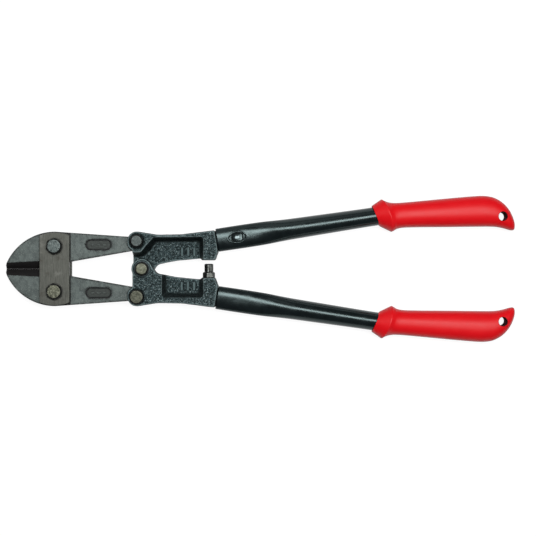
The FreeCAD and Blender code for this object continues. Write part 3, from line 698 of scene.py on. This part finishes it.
def remap(tree, value, low, high, to_low=0.0, to_high=1.0):
    """Smooth step of a value from one range to another."""
    made = add(tree, "ShaderNodeMapRange", {"interpolation_type": "SMOOTHSTEP"}, Value=value,
               From_Min=low, From_Max=high, To_Min=to_low, To_Max=to_high)
    return made.outputs["Result"]


def noise(tree, vector, scale, detail=4.0, roughness=0.55):
    """Noise value at a scale."""
    made = add(tree, "ShaderNodeTexNoise", Vector=vector, Scale=scale, Detail=detail, Roughness=roughness)
    return made.outputs["Fac"]


def surface_normal(tree):
    """Normal of the smooth-shaded surface, before any bump."""
    return add(tree, "ShaderNodeNewGeometry").outputs["Normal"]


def split(tree, vector):
    """X, Y and Z of a vector."""
    made = add(tree, "ShaderNodeSeparateXYZ", Vector=vector)
    return made.outputs["X"], made.outputs["Y"], made.outputs["Z"]


print("node helpers ready")

# %% [markdown]
# ** Edges: wear and shade.** Handling polishes an edge before it reaches a face, and the plates use this mask for
# their paler edges. The jaws use it for a painted dark outline of shade along theirs. On an exact solid the
# Bevel node gives the normal that a rounded edge would have, and where it differs from the surface's own
# normal an edge is near. A noise breaks the line up, because wear is never even.

# %% Edge wear and shade group
edge_inputs = {"Vector": ORIGIN, "Radius": 0.6 * MM, "Breakup": 900.0}
edge_wear_and_shade, given, out = new_group("edge_wear_and_shade", edge_inputs, ["Mask"])
rounded = add(edge_wear_and_shade, "ShaderNodeBevel", {"samples": BEVEL_SAMPLES}, Radius=given["Radius"])
agree = arithmetic(edge_wear_and_shade, "DOT_PRODUCT", rounded.outputs["Normal"], surface_normal(edge_wear_and_shade),
                   kind="ShaderNodeVectorMath")
near_edge = remap(edge_wear_and_shade, agree, 0.995, 0.85)
patchy = remap(edge_wear_and_shade, noise(edge_wear_and_shade, given["Vector"], given["Breakup"], 3.0), 0.35, 0.62)
feed(edge_wear_and_shade, out["Mask"], times(edge_wear_and_shade, near_edge, patchy))
print("edge_wear_and_shade has", len(edge_wear_and_shade.nodes), "nodes")

# %% [markdown]
# ** Use and painted light.** The weathered copies know their edges and hollows, and the tubes' punch marks are kept
# in the same two attributes. This group reads both and breaks them up: edges are paler in patches, as wear
# and painted highlight, and hollows are darker, as dirt and painted shade, fraying at their border.

# %% Wear and painted light group
MARK_FADE = 0.4
use_marks, given, out = new_group("use_marks", {"Vector": ORIGIN, "Breakup": 900.0}, ["Wear And Highlight", "Dirt And Shade"])
crumbs = noise(use_marks, given["Vector"], given["Breakup"], 4.0, 0.6)
for label, source, starts in (("Wear And Highlight", "edge", 0.43), ("Dirt And Shade", "hollow", 0.12)):
    kept = add(use_marks, "ShaderNodeAttribute", {"attribute_name": source}).outputs["Fac"]
    frayed = arithmetic(use_marks, "ADD", kept, minus(use_marks, crumbs, 0.5))
    feed(use_marks, out[label], remap(use_marks, frayed, starts, starts + MARK_FADE))
print("use_marks has", len(use_marks.nodes), "nodes")

# %% [markdown]
# ** Steep places.** This group finds how far a surface leans away from the tool's own Z axis, whichever of its two
# sides it is on. The finishes paint steep walls dark with it as painted shade, and its level-face mask
# picks the level floor of the jaws' shaded groove.

# %% Steep shade group
steep_wall_shade, given, out = new_group("steep_wall_shade", {"Level": 0.9, "Steep": 0.65}, ["Mask", "Level Face"])
_, _, leaning = split(steep_wall_shade, surface_normal(steep_wall_shade))
lift = arithmetic(steep_wall_shade, "ABSOLUTE", leaning)
feed(steep_wall_shade, out["Mask"], remap(steep_wall_shade, lift, given["Level"], given["Steep"]))
feed(steep_wall_shade, out["Level Face"], remap(steep_wall_shade, lift, 0.9, 0.97))
print("steep_wall_shade has", len(steep_wall_shade.nodes), "nodes")

# %% [markdown]
# **Scale.** Two noises of different size add up to the height of the skin. Pale flecks lie only
# where both are high, so they gather in patches instead of covering the face evenly.

# %% Scale group
BROAD_SHARE = 0.55
scale_inputs = {"Vector": ORIGIN, "Grain": 900.0}
scale_skin, given, out = new_group("scale_skin", scale_inputs, ["Height", "Flecks", "Patches"])
broad_grain = times(scale_skin, given["Grain"], BROAD_SHARE)
fine = noise(scale_skin, given["Vector"], given["Grain"], 5.0, 0.62)
broad = noise(scale_skin, given["Vector"], broad_grain, 3.0)
tops = remap(scale_skin, fine, 0.52, 0.66)
feed(scale_skin, out["Height"], arithmetic(scale_skin, "ADD", fine, broad))
gathered = remap(scale_skin, broad, 0.38, 0.6)
feed(scale_skin, out["Flecks"], times(scale_skin, tops, gathered))
feed(scale_skin, out["Patches"], remap(scale_skin, broad, 0.36, 0.64))
print("scale_skin has", len(scale_skin.nodes), "nodes")

# %% [markdown]
# **Ground lines.** A grinding belt leaves fine parallel scratches. Stretching a noise along the
# belt's travel turns its blobs into lines, and a slow noise beside it gives the stains that
# handling leaves.

# %% Ground line group
STAIN_SCALE = 110.0
line_inputs = {"Vector": ORIGIN, "Across": (4000.0, 90.0, 4000.0)}
ground_lines, given, out = new_group("ground_lines", line_inputs, ["Lines", "Stains"])
stretched = arithmetic(ground_lines, "MULTIPLY", given["Vector"], given["Across"],
                       kind="ShaderNodeVectorMath", result="Vector")
feed(ground_lines, out["Lines"], noise(ground_lines, stretched, 1.0, 5.0, 0.6))
feed(ground_lines, out["Stains"], noise(ground_lines, given["Vector"], STAIN_SCALE, 5.0, 0.6))
print("ground_lines has", len(ground_lines.nodes), "nodes")

# %% [markdown]
# ## Finishes
#
# Each finish is one Principled shader. Its constant values are typed on the shader itself, and only
# what varies over the surface is linked.

# %% Material helpers
WHITE = (1.0, 1.0, 1.0, 1.0)
finishes = {}


def tint(red, green, blue):
    """Linear colour from screen values from 0 to 255.

    A share of 255 becomes share / 12.92 up to 0.04045, and ((share + 0.055) / 1.055)^2.4 above it.
    """
    share = np.array([red, green, blue]) / 255
    linear = np.where(share <= 0.04045, share / 12.92, ((share + 0.055) / 1.055) ** 2.4)
    return (*linear.tolist(), 1.0)


def new_finish(name, metallic=0.0, specular=0.5, sheen_tint=WHITE):
    """Material with one Principled shader, and its object coordinates."""
    material = bpy.data.materials.new(name)
    material.use_nodes = True
    tree = material.node_tree
    shader = tree.nodes["Principled BSDF"].inputs
    shader["Metallic"].default_value = metallic
    shader["Specular IOR Level"].default_value = specular
    shader["Specular Tint"].default_value = sheen_tint
    place = tree.nodes.new("ShaderNodeTexCoord").outputs["Object"]
    return material, tree, shader, place


def effect(tree, group, **values):
    """Outputs of a shared group placed in a material with its own values."""
    return add(tree, "ShaderNodeGroup", {"node_tree": group}, **values).outputs


def coat(tree, shader, base, layers, roughness):
    """Feed a shader its roughness, and its colour built up from a base by (mask, colour) layers.

    Colours are screen values from 0 to 255.
    """
    colour = tint(*base)
    for mask, over in layers:
        made = add(tree, "ShaderNodeMix", {"data_type": "RGBA"}, Factor=mask)
        first, second = [socket for socket in made.inputs if socket.type == "RGBA"]
        feed(tree, first, colour)
        feed(tree, second, tint(*over))
        colour = next(socket for socket in made.outputs if socket.type == "RGBA")
    feed(tree, shader["Base Color"], colour)
    feed(tree, shader["Roughness"], roughness)


def roughen(tree, shader, height, strength, distance, edge_radius=0.0):
    """Raise the shader's normal by a height, over edges that a Bevel node rounds if a radius is given."""
    made = add(tree, "ShaderNodeBump", Strength=strength, Distance=distance, Height=height)
    if edge_radius:
        rounding = add(tree, "ShaderNodeBevel", {"samples": BEVEL_SAMPLES}, Radius=edge_radius)
        tree.links.new(rounding.outputs["Normal"], made.inputs["Normal"])
    tree.links.new(made.outputs["Normal"], shader["Normal"])


def ring_mask(tree, place, middle, dark_within, clear_beyond):
    """Mask round an upright axis at middle and at its mirror place in y, fading between two radii, for oil,
    enamel or painted shade.

    Its distance from the axis is ((x - middle x)^2 + (|y| - middle y)^2)^0.5.
    """
    x, y, _ = split(tree, place)
    along = minus(tree, x, middle[0])
    across = minus(tree, arithmetic(tree, "ABSOLUTE", y), middle[1])
    squares = [times(tree, side, side) for side in (along, across)]
    reach = arithmetic(tree, "SQRT", arithmetic(tree, "ADD", *squares))
    return remap(tree, reach, clear_beyond, dark_within)


JAW_BOLT = middle_of("upper_jaw_bolt")
TAIL_BOLT = middle_of("upper_tail_bolt")
CENTRE_BOLT = middle_of("centre_bolt")
for bolt in (JAW_BOLT, TAIL_BOLT, CENTRE_BOLT):
    print("bolt at", np.round(bolt[:2] / MM, 1).tolist(), "mm")

# %% [markdown]
# ** Plates** are strap steel, ground along their length and dulled brown. Their edges are rubbed
# paler, and a dark ring round each jaw bolt is old oil and painted shade.

# %% Plate steel
material, tree, shader, place = new_finish("plate_steel", metallic=0.4, specular=0.35)
ground = effect(tree, ground_lines, Vector=place, Across=(3000.0, 120.0, 3000.0))
edge = effect(tree, edge_wear_and_shade, Vector=place, Radius=0.6 * MM, Breakup=700.0)
roughness = remap(tree, ground["Lines"], 0.3, 0.7, 0.42, 0.6)
coat(tree, shader, (67, 69, 63), [
    (remap(tree, ground["Lines"], 0.3, 0.7), (102, 103, 96)),
    (remap(tree, ground["Stains"], 0.55, 0.75), (64, 60, 53)),
    (remap(tree, ground["Stains"], 0.44, 0.3), (106, 107, 101)),
    (edge["Mask"], (117, 118, 112)),
    # dark ring round each jaw bolt's head: oil and painted shade
    (ring_mask(tree, place, JAW_BOLT, 6.2 * MM, 8.6 * MM), (18, 18, 16)),
], roughness)
roughen(tree, shader, ground["Lines"], strength=0.3, distance=0.1 * MM, edge_radius=0.4 * MM)
finishes["plate_steel"] = material
print("plate_steel has", len(tree.nodes), "nodes")

# %% [markdown]
# ** Jaws** are heat-treated, so their faces are matt blue-grey. Their steep sides, a line along their
# edges and the groove round each pocket are near-black with painted shade. The cutting bevels are ground
# last, and their near-black is painted shade. Each tail has a pocket with three plain raised
# bars. A dark line along the plates' edges is painted shadow. Masks find these places without painting: a
# bevel is the only slanted face in front of the plates, and a pocket's bars, its floor and the groove round
# it face up, but lie deeper than the jaw's face.

# %% Jaw steel
plate_low, plate_high = size_of("front_plate")
jaw_low, jaw_high = size_of("upper_jaw")
BEVEL_END = (plate_low[0] + plate_high[0]) / 2
PLATE_HALF = (plate_high[0] - plate_low[0]) / 2
JAW_HALF = (jaw_high[2] - jaw_low[2]) / 2
# depths under the jaw's face between which a mask turns on
BAR_DEPTHS = (0.2 * MM, 0.4 * MM)
FLOOR_DEPTHS = (0.55 * MM, 0.7 * MM)
GROOVE_DEPTHS = (0.95 * MM, 1.1 * MM)
# distances from the plate's edge between which its painted shadow line turns off
PLATE_EDGE_SHADOW = (1.2 * MM, 0.3 * MM)


def distance_from(tree, value, level):
    """How far a value lies from a level, on either side."""
    return arithmetic(tree, "ABSOLUTE", minus(tree, value, level))


material, tree, shader, place = new_finish("jaw_steel", metallic=0.35, specular=0.35)
skin = effect(tree, scale_skin, Vector=place, Grain=1300.0)
clouds = effect(tree, ground_lines, Vector=place, Across=(260.0, 160.0, 260.0))
edge = effect(tree, edge_wear_and_shade, Vector=place, Radius=3.4 * MM, Breakup=200.0)
x, _, z = split(tree, place)
_, _, normal_z = split(tree, add(tree, "ShaderNodeNewGeometry").outputs["True Normal"])
wall_shade = effect(tree, steep_wall_shade)
upright = arithmetic(tree, "ABSOLUTE", normal_z)
off_wall, off_level = remap(tree, upright, 0.35, 0.45), remap(tree, upright, 0.97, 0.9)
slanted = times(tree, off_wall, off_level)
bevel_shade = times(tree, slanted, remap(tree, x, BEVEL_END, BEVEL_END - 1 * MM))
beside_plate = minus(tree, distance_from(tree, x, BEVEL_END), PLATE_HALF)
depth = minus(tree, JAW_HALF, distance_from(tree, z, MID_Z))
groove_shade = times(tree, wall_shade["Level Face"], remap(tree, depth, *GROOVE_DEPTHS))
roughness = remap(tree, skin["Patches"], 0.0, 1.0, 0.44, 0.6)
coat(tree, shader, (75, 83, 81), [
    (remap(tree, clouds["Lines"], 0.35, 0.65), (94, 103, 100)),
    (skin["Flecks"], (122, 130, 126)),
    (remap(tree, clouds["Stains"], 0.58, 0.72), (66, 73, 71)),
    (remap(tree, depth, *BAR_DEPTHS), (79, 85, 82)),
    (remap(tree, depth, *FLOOR_DEPTHS), (56, 61, 58)),
    # painted shade from here on: the pocket's groove, an outline along the edges, the steep sides, the
    # plates' shadow line and the bevels
    (groove_shade, (16, 18, 18)),
    (remap(tree, edge["Mask"], 0.03, 0.3), (26, 30, 29)),
    (wall_shade["Mask"], (16, 18, 18)),
    (remap(tree, beside_plate, *PLATE_EDGE_SHADOW), (20, 21, 20)),
    (bevel_shade, (26, 24, 24)),
], roughness)
roughen(tree, shader, skin["Height"], strength=0.3, distance=0.14 * MM, edge_radius=0.4 * MM)
finishes["jaw_steel"] = material
print("jaw_steel has", len(tree.nodes), "nodes")

# %% [markdown]
# ** Arms** are dipped in thin blue-black enamel over the forging's scale. It rubs through on the grain's
# tops, and along the rolled edges it is paler, partly wear and partly painted highlight. The pockets'
# walls and corners, and a ring round each tail bolt's head, are near-black with painted shade. Three plain
# bars stand in each pocket, with painted shade at their feet and rubbed on top. Painting them by hand
# wouldn't survive a change of shape, so their height over the pocket's floor tells them apart.

# %% Forged arm enamel
ARM_HALF = FRONT_Z - MID_Z
# an arm's two pocket floors, counted from the middle plane towards each floor's own face
LAP_LEVEL = -0.15 * MM
RELIEF_LEVEL = ARM_HALF - 4.6 * MM
# heights over a floor, and how far each mask fades beyond them
BAR_FOOT = (0.25 * MM, 0.45 * MM)
BAR_TOP = (0.6 * MM, 0.9 * MM)
BAR_FADE = 0.1 * MM


def between(tree, value, low, high, fade):
    """1 from low to high, fading to 0 outside over fade."""
    above_low = remap(tree, value, low - fade, low)
    below_high = remap(tree, value, high + fade, high)
    return times(tree, above_low, below_high)


def bar_masks(tree, place):
    """Feet and tops of the bars on both pocket floors of an arm.

    One arm is the other turned over, so height = sign(y) * (z - MID_Z) serves both.
    """
    _, y, z = split(tree, place)
    from_middle = minus(tree, z, MID_Z)
    height = times(tree, arithmetic(tree, "SIGN", y), from_middle)
    over_lap = minus(tree, height, LAP_LEVEL)
    turned = times(tree, height, -1.0)
    over_relief = minus(tree, turned, RELIEF_LEVEL)
    masks = []
    for low, high in (BAR_FOOT, BAR_TOP):
        floors = [between(tree, over, low, high, BAR_FADE) for over in (over_lap, over_relief)]
        masks.append(arithmetic(tree, "MAXIMUM", *floors))
    return masks


material, tree, shader, place = new_finish("forged_enamel", metallic=0.1, specular=0.5,
                                           sheen_tint=(0.75, 1.0, 1.0, 1.0))
skin = effect(tree, scale_skin, Vector=place, Grain=1250.0)
marks = effect(tree, use_marks, Vector=place, Breakup=700.0)
wall_shade = effect(tree, steep_wall_shade, Level=0.95, Steep=0.75)
bar_foot_shade, bar_tops = bar_masks(tree, place)
roughness = remap(tree, skin["Height"], 0.8, 1.2, 0.5, 0.3)
coat(tree, shader, (7, 12, 14), [
    (skin["Patches"], (64, 80, 82)),
    (skin["Flecks"], (180, 200, 201)),
    (marks["Wear And Highlight"], (128, 145, 146)),
    # painted shade at the bars' feet, on the steep walls, in the hollows and in the counterbore round each
    # tail bolt's head
    (bar_foot_shade, (6, 9, 10)),
    (bar_tops, (104, 121, 122)),
    (wall_shade["Mask"], (5, 8, 9)),
    (marks["Dirt And Shade"], (3, 5, 6)),
    (ring_mask(tree, place, TAIL_BOLT, 6.4 * MM, 7.4 * MM), (6, 8, 8)),
], roughness)
roughen(tree, shader, skin["Height"], strength=1.0, distance=1.3 * MM)
finishes["forged_arm"] = material
print("forged_enamel has", len(tree.nodes), "nodes")

# %% [markdown]
# ** Tubes** have gloss stove enamel. It is smooth apart from a faint orange peel, and fine rub marks
# dull it in patches. The punch mark's lip and tongue carry a painted highlight, and its slot is matt with
# painted shade.

# %% Tube enamel
material, tree, shader, place = new_finish("tube_enamel", specular=0.52,
                                           sheen_tint=(0.78, 1.0, 1.0, 1.0))
peel = effect(tree, scale_skin, Vector=place, Grain=300.0)
rubs = effect(tree, ground_lines, Vector=place, Across=(240.0, 1600.0, 1600.0))
marks = effect(tree, use_marks, Vector=place, Breakup=500.0)
gloss = remap(tree, rubs["Stains"], 0.35, 0.7, 0.19, 0.27)
roughness = arithmetic(tree, "MAXIMUM", gloss, marks["Dirt And Shade"])
coat(tree, shader, (6, 10, 12), [
    (peel["Patches"], (11, 17, 19)),
    (remap(tree, rubs["Lines"], 0.62, 0.75), (34, 44, 47)),
    # painted highlight on the punch mark's lip and tongue, then painted shade in its slot
    (marks["Wear And Highlight"], (156, 172, 174)),
    (marks["Dirt And Shade"], (2, 3, 3)),
], roughness)
roughen(tree, shader, peel["Height"], strength=0.025, distance=0.6 * MM)
finishes["tube_enamel"] = material
print("tube_enamel has", len(tree.nodes), "nodes")

# %% [markdown]
# ** Grips** are vinyl: a strong even red whose sheen is broad and soft. The wall of the hanging hole
# is dark red with painted shade.

# %% Grip vinyl
material, tree, shader, place = new_finish("grip_vinyl", specular=0.3)
skin = effect(tree, scale_skin, Vector=place, Grain=240.0)
grain = effect(tree, scale_skin, Vector=place, Grain=2600.0)
# painted shade on the hanging hole's wall
wall_reach = HOLE_RADIUS + 0.05 * MM
hole_shade = ring_mask(tree, place, hole_places["upper"], wall_reach, wall_reach + 0.25 * MM)
soft = remap(tree, skin["Patches"], 0.0, 1.0, 0.41, 0.44)
roughness = arithmetic(tree, "MAXIMUM", soft, hole_shade)
coat(tree, shader, (231, 6, 20), [
    (skin["Patches"], (234, 9, 22)),
    (grain["Flecks"], (238, 18, 26)),
    (hole_shade, (84, 4, 9)),
], roughness)
roughen(tree, shader, grain["Height"], strength=0.12, distance=0.12 * MM)
finishes["grip_skin"] = material
print("grip_vinyl has", len(tree.nodes), "nodes")

# %% [markdown]
# ** Fasteners** come from different batches: blacked steel, dull yellow zinc and oiled stop parts.
# One function makes all three, so they differ in colour, and in the dark rings that their places
# leave on them. Round the tail bolts and round the centre bolt's head a ring is oil and painted shade, the
# heads' chamfers outside the flat get painted shade, and the washer under the centre bolt's head lies in
# the arms' enamel.
# Their steep sides and hollows get painted shade too, and their corners are bright with wear and painted
# highlight.

# %% Fasteners
# radii between which a head's rim fades out, and how far the border of its flat fades
HEAD_EDGE = (7.0 * MM, 7.5 * MM)
FLAT_FADE = 0.5 * MM
# share of the oil and painted shade round the tail bolts
TAIL_OIL_SHADE = 0.35


def head_chamfer_shade(tree, place, bolt, flat_radius):
    """Layer of painted shade: a dark ring from the flat of a bolt's head out to its corners."""
    flat = ring_mask(tree, place, bolt, flat_radius, flat_radius + FLAT_FADE)
    head = ring_mask(tree, place, bolt, *HEAD_EDGE)
    return times(tree, head, minus(tree, 1.0, flat)), (24, 26, 25)


def dark_rings(tree, place):
    """The upper tail bolt's rim in painted shade, and on the centre bolt's front washer enamel, then oil
    and painted shade round the head.
    """
    return [
        head_chamfer_shade(tree, place, TAIL_BOLT, 4.3 * MM),
        (ring_mask(tree, place, CENTRE_BOLT, 9.0 * MM, 9.4 * MM), (50, 62, 64)),
        (ring_mask(tree, place, CENTRE_BOLT, 6.2 * MM, 7.0 * MM), (12, 14, 14)),
    ]


def zinc_rings(tree, place):
    """The centre bolt's rim in painted shade."""
    return [head_chamfer_shade(tree, place, CENTRE_BOLT, 4.6 * MM)]


def no_rings(tree, place):
    """None, for the stop's parts."""
    return []


def fastener(name, rings, dark, light, bright):
    """Plated or blacked steel, with painted shade on its steep sides and in its hollows, bright with wear
    and painted highlight on its corners, under its rings.
    """
    material, tree, shader, place = new_finish(name, metallic=0.65, specular=0.4)
    skin = effect(tree, scale_skin, Vector=place, Grain=900.0)
    marks = effect(tree, use_marks, Vector=place, Breakup=500.0)
    wall_shade = effect(tree, steep_wall_shade, Level=0.975, Steep=0.9)
    tail_oil_shade = times(tree, ring_mask(tree, place, TAIL_BOLT, 8.0 * MM, 9.0 * MM), TAIL_OIL_SHADE)
    roughness = remap(tree, skin["Patches"], 0.0, 1.0, 0.34, 0.52)
    coat(tree, shader, dark, [
        (skin["Patches"], light),
        (skin["Flecks"], bright),
        (marks["Wear And Highlight"], bright),
        # painted shade on steep sides, in hollows, round the tail bolts and in the rings
        (wall_shade["Mask"], (26, 28, 27)),
        (marks["Dirt And Shade"], (18, 18, 17)),
        (tail_oil_shade, (12, 14, 14)),
        *rings(tree, place),
    ], roughness)
    roughen(tree, shader, skin["Height"], strength=0.35, distance=0.3 * MM)
    return material


# each batch's rings of oil, enamel and painted shade, and its colours from dark to bright
BATCHES = {
    "dark_bolt": (dark_rings, (68, 76, 75), (92, 101, 99), (128, 136, 133)),
    "zinc_bolt": (zinc_rings, (78, 80, 67), (104, 106, 90), (146, 146, 132)),
    "stop_steel": (no_rings, (76, 79, 76), (118, 121, 117), (156, 160, 156)),
}
for name, batch in BATCHES.items():
    finishes[name] = fastener(name, *batch)
print("finishes:", sorted(finishes))

# %% [markdown]
# ## Dress the solids and seat the new pieces
#
# The record says which finish each solid takes. A new skin rides on the same body as the solid that
# it stands for, so it moves with it in every pose.

# %% Assign finishes
slot_of = {part["node"]: part["material_slot"] for part in frame["record"]["subparts"]}


def dress(piece, slot_name):
    """Give a piece its finish as its only material."""
    piece.data.materials.clear()
    piece.data.materials.append(finishes[slot_name])


def seat(piece, node):
    """Dress a new piece as its solid is dressed, and let it ride in the solid's place."""
    dress(piece, slot_of[node])
    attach(piece, nodes[node]["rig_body"])
    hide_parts(node)


for node, slot_name in slot_of.items():
    dress(nodes[node], slot_name)
for side in ("upper", "lower"):
    seat(tubes[side], side + "_tube")
    seat(grips[side], side + "_grip")
for node, piece in weathered.items():
    seat(piece, node)
print("new skins:", len(tubes) + len(grips) + len(weathered), "of", len(nodes), "pieces")

# %% [markdown]
# ## Floor, light and camera
#
# The floor is a wide white disc that curves up far away, so low views end in white too. Its
# material adds light of its own only where the camera sees it, straight, in a reflection or through
# glass. So it looks white without throwing more light on the tool, and it still takes its shadow.

# %% Floor
FLOOR_FLAT = 2.0
FLOOR_RIM = 4.5
FLOOR_RISE = 1.2
FLOOR_RADII = np.concatenate([[0.02, 0.5, 1.0, 1.5], np.linspace(FLOOR_FLAT, FLOOR_RIM, 24)])
FLOOR_COLUMNS = 96
FLOOR_GREY = 0.15
FLOOR_GLOW = 0.93


def white_floor():
    """Disc whose height is FLOOR_RISE * t^2 beyond the flat part, with t from 0 to 1 at the rim."""
    radius = FLOOR_RADII[:, None]
    turn = np.linspace(0, 2 * math.pi, FLOOR_COLUMNS, endpoint=False)
    rise = FLOOR_RISE * np.clip((radius - FLOOR_FLAT) / (FLOOR_RIM - FLOOR_FLAT), 0, 1) ** 2
    rings = np.stack([radius * np.cos(turn), radius * np.sin(turn), rise + 0 * turn], axis=-1)
    numbers = vertex_numbers(rings)
    facing_up = ring_quads(numbers)[:, ::-1]
    floor = make_mesh("floor", rings.reshape(-1, 3), facing_up.tolist() + [numbers[0].tolist()])
    return floor


material, tree, shader, _ = new_finish("floor_paint", specular=0.0)
shader["Base Color"].default_value = (FLOOR_GREY, FLOOR_GREY, FLOOR_GREY, 1.0)
shader["Roughness"].default_value = 0.9
path = tree.nodes.new("ShaderNodeLightPath").outputs
seen = arithmetic(tree, "MAXIMUM", path["Is Camera Ray"], path["Is Glossy Ray"])
seen = arithmetic(tree, "MAXIMUM", seen, path["Is Transmission Ray"])
shader["Emission Color"].default_value = WHITE
feed(tree, shader["Emission Strength"], times(tree, seen, FLOOR_GLOW))
white_floor().data.materials.append(material)
print("floor reaches", FLOOR_RIM, "m")

# %% [markdown]
# One long softbox hangs above the tool, a little towards the upper handle and the grips. On the
# round tubes it draws a narrow bright line just off the middle, and it leaves the far sides dark. A
# second, weak box and a dim sky fill the shadows.


# %% Lights
def softbox(name, place, width, height, power):
    """Rectangular lamp that faces the tool's middle."""
    lamp = bpy.data.lights.new(name, "AREA")
    lamp.shape = "RECTANGLE"
    lamp.size = width
    lamp.size_y = height
    lamp.energy = power
    holder = new_object(name, lamp)
    holder.location = place
    holder.rotation_euler = (-Vector(place)).to_track_quat("-Z", "Y").to_euler()
    return holder


softbox("key_box", place=(0.1, 0.21, 1.25), width=1.25, height=0.3, power=14.2)
softbox("fill_box", place=(-0.5, 1.1, 0.9), width=1.2, height=0.7, power=1.6)
sky = bpy.data.worlds.new("studio")
bpy.context.scene.world = sky
sky.use_nodes = True
glow = sky.node_tree.nodes["Background"].inputs
glow["Color"].default_value = (0.92, 0.96, 1.0, 1.0)
glow["Strength"].default_value = 0.15
print("lamps:", [lamp.name for lamp in bpy.data.lights])

# %% [markdown]
# The camera looks straight down from far enough to keep the tool's sides nearly hidden. Its lens
# follows from how wide a strip of the arms' front plane it takes in.

# %% Camera
VIEW_WIDTH = 480.3 * MM
CAMERA_HEIGHT = 1250 * MM
SENSOR_WIDTH = 36.0
VIEW_MIDDLE = (6.8 * MM, 0.8 * MM)
camera_data = bpy.data.cameras.new("camera")
camera_data.sensor_width = SENSOR_WIDTH
camera_data.lens = SENSOR_WIDTH * CAMERA_HEIGHT / VIEW_WIDTH
camera = new_object("camera", camera_data)
camera.location = (*VIEW_MIDDLE, FRONT_Z + CAMERA_HEIGHT)
bpy.context.scene.camera = camera
bpy.context.scene.view_settings.view_transform = "Standard"
print("lens", round(camera_data.lens, 1), "mm")
